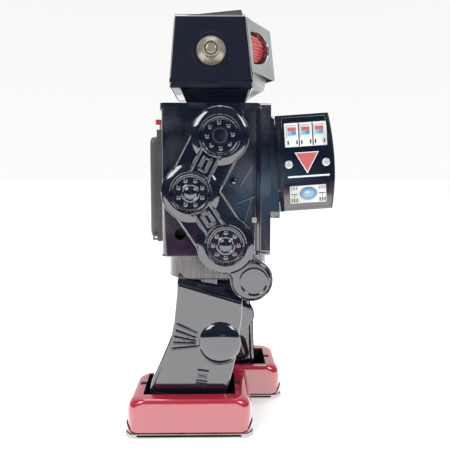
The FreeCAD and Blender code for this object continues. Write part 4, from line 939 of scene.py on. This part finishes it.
def gauges():
    """White panel with three gauges, each red over blue, parted by dark lines."""
    yield "white", block(4.2, 32.8, 10.9, 27.0, 0.5), 0.02
    for left in (5.6, 14.9, 24.2):
        yield "red", block(left + 0.8, left + 6.5, 21.5, 24.1), 0.14
        yield "teal", block(left + 0.8, left + 6.5, 18.5, 21.4), 0.14
        yield "blue", block(left + 3.4, left + 6.3, 19.4, 21.2), 0.26
        yield "grey", block(left - 0.1, left + 7.2, 25.0, 25.35, 0.1), 0.14
        yield "grey", block(left - 0.1, left + 0.25, 17.4, 25.0, 0.1), 0.14
        for mark in (0.3, 6.3):
            yield "black", block(left + mark, left + mark + 0.9, 12.6, 15.2, 0.1), 0.14
    for u in (13.6, 22.9):
        yield "black", block(u, u + 0.7, 11.4, 26.6, 0.1), 0.14


def lower_panel():
    """White panel with a blue oval, small marks beside it and bars in its corners."""
    yield "white", block(5.7, 30.4, -27.6, -15.7, 0.4), 0.02
    yield "black", ellipse(18.2, -21.1, 5.9, 4.4), 0.14
    yield "blue", ellipse(18.2, -21.1, 5.6, 4.1), 0.26
    yield "teal", ellipse(18.2, -21.1, 3.6, 2.3), 0.38
    yield "white", ellipse(17.4, -20.4, 1.6, 0.7), 0.50
    for start in (6.4, 25.6):
        for u in (start, start + 1.7, start + 3.4):
            yield "black", block(u, u + 1.0, -27.0, -24.3, 0.1), 0.14
            yield "grey", block(u, u + 1.0, -18.6, -16.2, 0.1), 0.14
        yield "black", block(start, start + 4.3, -21.7, -21.1, 0.1), 0.14
        yield "black", ellipse(start + 2.2, -22.9, 0.5, 0.5, 12), 0.14


def arrow_and_bar():
    """Red triangle edged in white, pointing down, over a white bar."""
    yield "white", [(10.3, 7.0), (18.3, -7.6), (26.8, 7.0)], 0.02
    yield "red", [(11.3, 6.4), (18.3, -6.2), (25.8, 6.4)], 0.14
    yield "white", block(4.8, 33.3, -10.0, -8.8, 0.3), 0.02


def doors():
    """Generic printed gauges, arrow, bar and panel on each door, rivets and a rolled free edge."""
    for side, name in SIDES:
        body = f"{name}_door_body"
        prints = {kind: [] for kind in PRINTS}
        door_sheet(side, name)
        for kind, outline, rise in (*gauges(), *lower_panel(), *arrow_and_bar()):
            prints[kind].append(plate(side, outline, rise))
        for kind, look in PRINTS.items():
            piece(f"{name}_door_print_{kind}", joined(prints[kind]), body, "door_print", look)
        rivets = []
        profile = [(0.0, 1.3), (0.9, 1.25), (1.2, 0.75), (1.45, 0.75), (1.7, 1.15), (2.3, 0.85), (2.7, 0.3),
                   (2.8, 0.0)]
        dome = lathe(profile, 32)
        for u, w in ((5.9, -0.8), (31.3, -0.7)):
            rivets.append(moved(dome, lambda point: door_point(side, u + point[0], w + point[2], point[1])))
        piece(f"{name}_door_rivets", joined(rivets), body, "door_print", RIVET, smooth=50)
        steps = np.linspace(-DOOR_HALF + 1.0, DOOR_HALF - 1.0, 25)
        edge = [door_point(side, door_edge(w, 0.55), w, -0.1) for w in steps]
        piece(f"{name}_door_bead", tube(edge, 0.62), body, "door_print", smooth=50)
        border = [(2.6, -DOOR_HALF + 1.6)]
        border += [(door_edge(w, 2.6), w) for w in np.linspace(-DOOR_HALF + 1.6, DOOR_HALF - 1.6, 15)]
        border += [(2.6, DOOR_HALF - 1.6)]
        ridge = tube([door_point(side, u, w, -0.05) for u, w in border], 0.3, True, 8)
        piece(f"{name}_door_ridge", ridge, body, "door_print", smooth=50)


# ---- torso ----------------------------------------------------------------------------------

SHELL_LINES = (((-20, 225), (-21.5, 204)), ((17.5, 225), (19, 219)), ((25, 185), (17, 172)),
               ((14, 160), (27, 165)), ((20, 148), (24, 164)))


def battery_lid():
    """Moulded lid with round corners and a raised rim over the cells."""
    low, high = span("battery_cover")
    rings = []
    for inset, depth in ((0.0, 0.0), (0.0, 2.0), (0.25, 3.3), (0.9, 4.3), (1.9, 4.9), (3.0, 5.2), (5.2, 5.3),
                         (5.8, 4.9), (6.3, 4.9), (30.0, 4.9)):
        across = rounded(low.y + 1.3 + inset, high.y - 1.3 - inset, low.z + inset, high.z - inset,
                         max(0.6, 4.5 - inset * 0.6), 5)
        rings.append([(high.x - depth, y, z) for y, z in across])
    item = piece("battery_lid", loft(rings), "cover", "black_plastic", smooth=50)
    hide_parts("battery_cover")


def shell_trim():
    """Pressed lines, stud and tab on each side of the shell, and its rolled foot."""
    low, high = span("body_shell")
    for side, name in SIDES:
        skin = side * high.y
        shapes = []
        for start, stop in SHELL_LINES:
            path = [(SHIFT + start[0] + (stop[0] - start[0]) * share, skin,
                     start[1] + (stop[1] - start[1]) * share) for share in (0, 0.5, 1)]
            shapes.append(tube(path, 0.45, False, 8))
        piece(f"{name}_shell_lines", joined(shapes), "torso", "black_lacquer", smooth=50)
        profile = [(0.0, 0.9), (1.4, 0.75), (2.2, 0.2), (2.5, 0.7), (3.0, 0.7), (3.2, 0.0)]
        stud = moved(lathe(profile, 40), lambda point: (SHIFT + 12.6 + point[0], skin + side * point[1],
                                                        175.1 + point[2]))
        piece(f"{name}_shell_stud", stud, "torso", "black_lacquer", smooth=50)
        outline = rounded(-1.6, 1.6, -1.8, 1.8, 0.5, 3)
        tab = [[(SHIFT + 26.4 + x, skin + side * rise, 149 + z) for x, z in outline] for rise in (0.0, 0.8)]
        piece(f"{name}_shell_tab", loft(tab), "torso", "steel", SILVER, bevel=0.2)
    rim = [(x, y, low.z + 0.5) for x, y in rounded(low.x, high.x, low.y, high.y, 4, 6)]
    piece("shell_foot_roll", tube(rim, 0.7, True), "torso", "black_lacquer", smooth=50)


def cover_trim():
    """The front cover's seam with the shell and its rolled edge."""
    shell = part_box("body_shell")[1].x / MM
    low, high = span("front_cover")
    outline = rounded(low.y + 0.7, high.y - 0.7, low.z + 0.7, high.z - 1.6, 3, 4)
    seam = [[(x, y, z) for y, z in outline] for x in (shell - 1.0, low.x + 0.6)]
    piece("cover_seam", loft(seam, (False, False)), "torso", "black_lacquer", smooth=50)
    outline = rounded(low.y + 0.25, high.y - 0.25, low.z + 0.3, high.z - 0.6, 4, 6)
    edge = [(low.x + 0.45, y, z) for y, z in outline]
    piece("front_cover_roll", tube(edge, 0.55, True), "torso", "black_lacquer", smooth=50)


def waist_and_neck_trim():
    """Rolled edges of the waist band and bright folds down the front of the neck."""
    low, high = span("waist_band")
    outline = rounded(low.x + 0.1, high.x - 0.1, low.y + 0.1, high.y - 0.1, 24, 10)
    for kind, height in (("foot", low.z + 0.35), ("head", high.z - 0.35)):
        band = [(x, y, height) for x, y in outline]
        piece(f"waist_{kind}_roll", tube(band, 0.45, True, 8), "pelvis", "silver_paint", BAND, smooth=50)
    low, high = span("neck")
    strips = []
    for side, _ in SIDES:
        fold = [(high.x - 4.1, side * 27, low.z + 0.4), (high.x - 0.8, side * 30.6, high.z - 0.4)]
        strips.append(tube(fold, 0.5))
    piece("neck_edges", joined(strips), "torso", "silver_paint", smooth=50)


# ---- room, light and camera -----------------------------------------------------------------

def floor():
    """Pale floor, shown to gloss as a bright table; it ends in front so that walls reflect the studio."""
    depth_front, depth_back, wide = -0.64, 6.0, 5.0
    verts = [(-wide, depth_front, 0), (wide, depth_front, 0), (wide, depth_back, 0), (-wide, depth_back, 0)]
    mesh = bpy.data.meshes.new("floor")
    mesh.from_pydata(verts, [], [(0, 1, 2, 3)])
    item = bpy.data.objects.new("floor", mesh)
    bpy.context.collection.objects.link(item)
    material = bpy.data.materials.new("pale_floor")
    material.use_nodes = True
    tree = material.node_tree
    surface = tree.nodes["Principled BSDF"]
    surface.inputs["Base Color"].default_value = (0.975, 0.975, 0.97, 1)
    surface.inputs["Roughness"].default_value = 0.95
    surface.inputs["Specular IOR Level"].default_value = 0.0
    glow = node_of(tree, "ShaderNodeEmission", Strength=2.4)
    shown = mix_rays(tree, surface.outputs["BSDF"], glow.outputs["Emission"], "Is Glossy Ray")
    tree.links.new(shown, tree.nodes["Material Output"].inputs["Surface"])
    mesh.materials.append(material)


def mirrored(tree, x, y, z):
    """What gloss sees: dark in front, blue to the right, purple low down, and bright behind."""
    rise = node_of(tree, "ShaderNodeMath")
    rise.operation = "MULTIPLY_ADD"
    rise.inputs[1].default_value = 0.5
    rise.inputs[2].default_value = 0.5
    tree.links.new(z, rise.inputs[0])
    height = rise.outputs["Value"]
    front = ramp(tree, height, ((0.41, (0.24, 0.07, 0.18)), (0.46, (0.06, 0.06, 0.10)),
                                (0.515, (0.008, 0.025, 0.05)), (0.56, (0.03, 0.045, 0.075)),
                                (0.62, (0.085, 0.095, 0.135))))
    high = ramp(tree, height, ((0.43, 0.0), (0.455, 0.8), (0.49, 0.8), (0.508, 0.0)))
    along = ramp(tree, x, ((0.01, 0.0), (0.05, 1.0), (0.12, 1.0), (0.22, 0.0)))
    tinted = mixed(tree, product(tree, high, along), front, (0.32, 0.58, 0.85))
    return mixed(tree, ramp(tree, y, ((0.15, 0.0), (0.6, 1.0))), tinted, (0.85, 0.86, 0.88))


def studio():
    """White light all round, a pale backdrop for the camera, and its own surroundings for gloss."""
    world = bpy.data.worlds.new("room")
    bpy.context.scene.world = world
    world.use_nodes = True
    tree = world.node_tree
    plain = tree.nodes["Background"]
    plain.inputs["Color"].default_value = (1.0, 1.0, 0.995, 1)
    plain.inputs["Strength"].default_value = 1.02
    place = tree.nodes.new("ShaderNodeTexCoord")
    parts = tree.nodes.new("ShaderNodeSeparateXYZ")
    tree.links.new(place.outputs["Generated"], parts.inputs["Vector"])
    x, y, z = parts.outputs
    sky = ramp(tree, z, ((0.0, (0.975, 0.975, 0.97)), (0.34, (0.935, 0.935, 0.92))))
    backdrop = node_of(tree, "ShaderNodeBackground", Strength=1.0)
    tree.links.new(sky, backdrop.inputs["Color"])
    dim = node_of(tree, "ShaderNodeBackground", Strength=1.0)
    tree.links.new(mirrored(tree, x, y, z), dim.inputs["Color"])
    seen = mix_rays(tree, plain.outputs["Background"], backdrop.outputs["Background"], "Is Camera Ray")
    lit = mix_rays(tree, seen, dim.outputs["Background"], "Is Glossy Ray")
    tree.links.new(lit, tree.nodes["World Output"].inputs["Surface"])


def mix_rays(tree, plain, special, ray):
    """Show one shader to one kind of ray and another to all others."""
    seen = tree.nodes.new("ShaderNodeLightPath")
    mix = tree.nodes.new("ShaderNodeMixShader")
    tree.links.new(seen.outputs[ray], mix.inputs["Fac"])
    tree.links.new(plain, mix.inputs[1])
    tree.links.new(special, mix.inputs[2])
    return mix.outputs["Shader"]


def lamp(name, place, target, size, power):
    """A soft square light aimed at a point."""
    data = bpy.data.lights.new(name, "AREA")
    data.shape = "SQUARE"
    data.size = size
    data.energy = power
    item = bpy.data.objects.new(name, data)
    bpy.context.collection.objects.link(item)
    item.location = place
    item.rotation_euler = (Vector(target) - Vector(place)).to_track_quat("-Z", "Y").to_euler()


def camera():
    """The view of the robot's right side, a little below the chest's height."""
    data = bpy.data.cameras.new("camera")
    data.lens = 38.1
    data.sensor_width = 36
    data.shift_y = -0.06
    item = bpy.data.objects.new("camera", data)
    bpy.context.collection.objects.link(item)
    item.location = (-0.007695, -0.3644, 0.1853)
    pitch, yaw = math.radians(3.84), math.radians(0.79)
    aim = Vector((math.sin(yaw) * math.cos(pitch), math.cos(yaw) * math.cos(pitch), -math.sin(pitch)))
    item.rotation_euler = aim.to_track_quat("-Z", "Y").to_euler()
    bpy.context.scene.camera = item


dress_nodes()
arms()
legs()
shoes()
head()
face()
eyes()
doors()
battery_lid()
shell_trim()
cover_trim()
waist_and_neck_trim()
floor()
studio()
lamp("left_box", (-0.75, -0.75, 0.85), (0, 0, 0.15), 0.60, 7)
lamp("right_box", (0.85, -0.65, 0.80), (0, 0, 0.15), 0.50, 5)
lamp("top_box", (0.0, 0.25, 1.3), (0, 0, 0.1), 0.9, 9)
camera()
bpy.context.scene.view_settings.view_transform = "Standard"
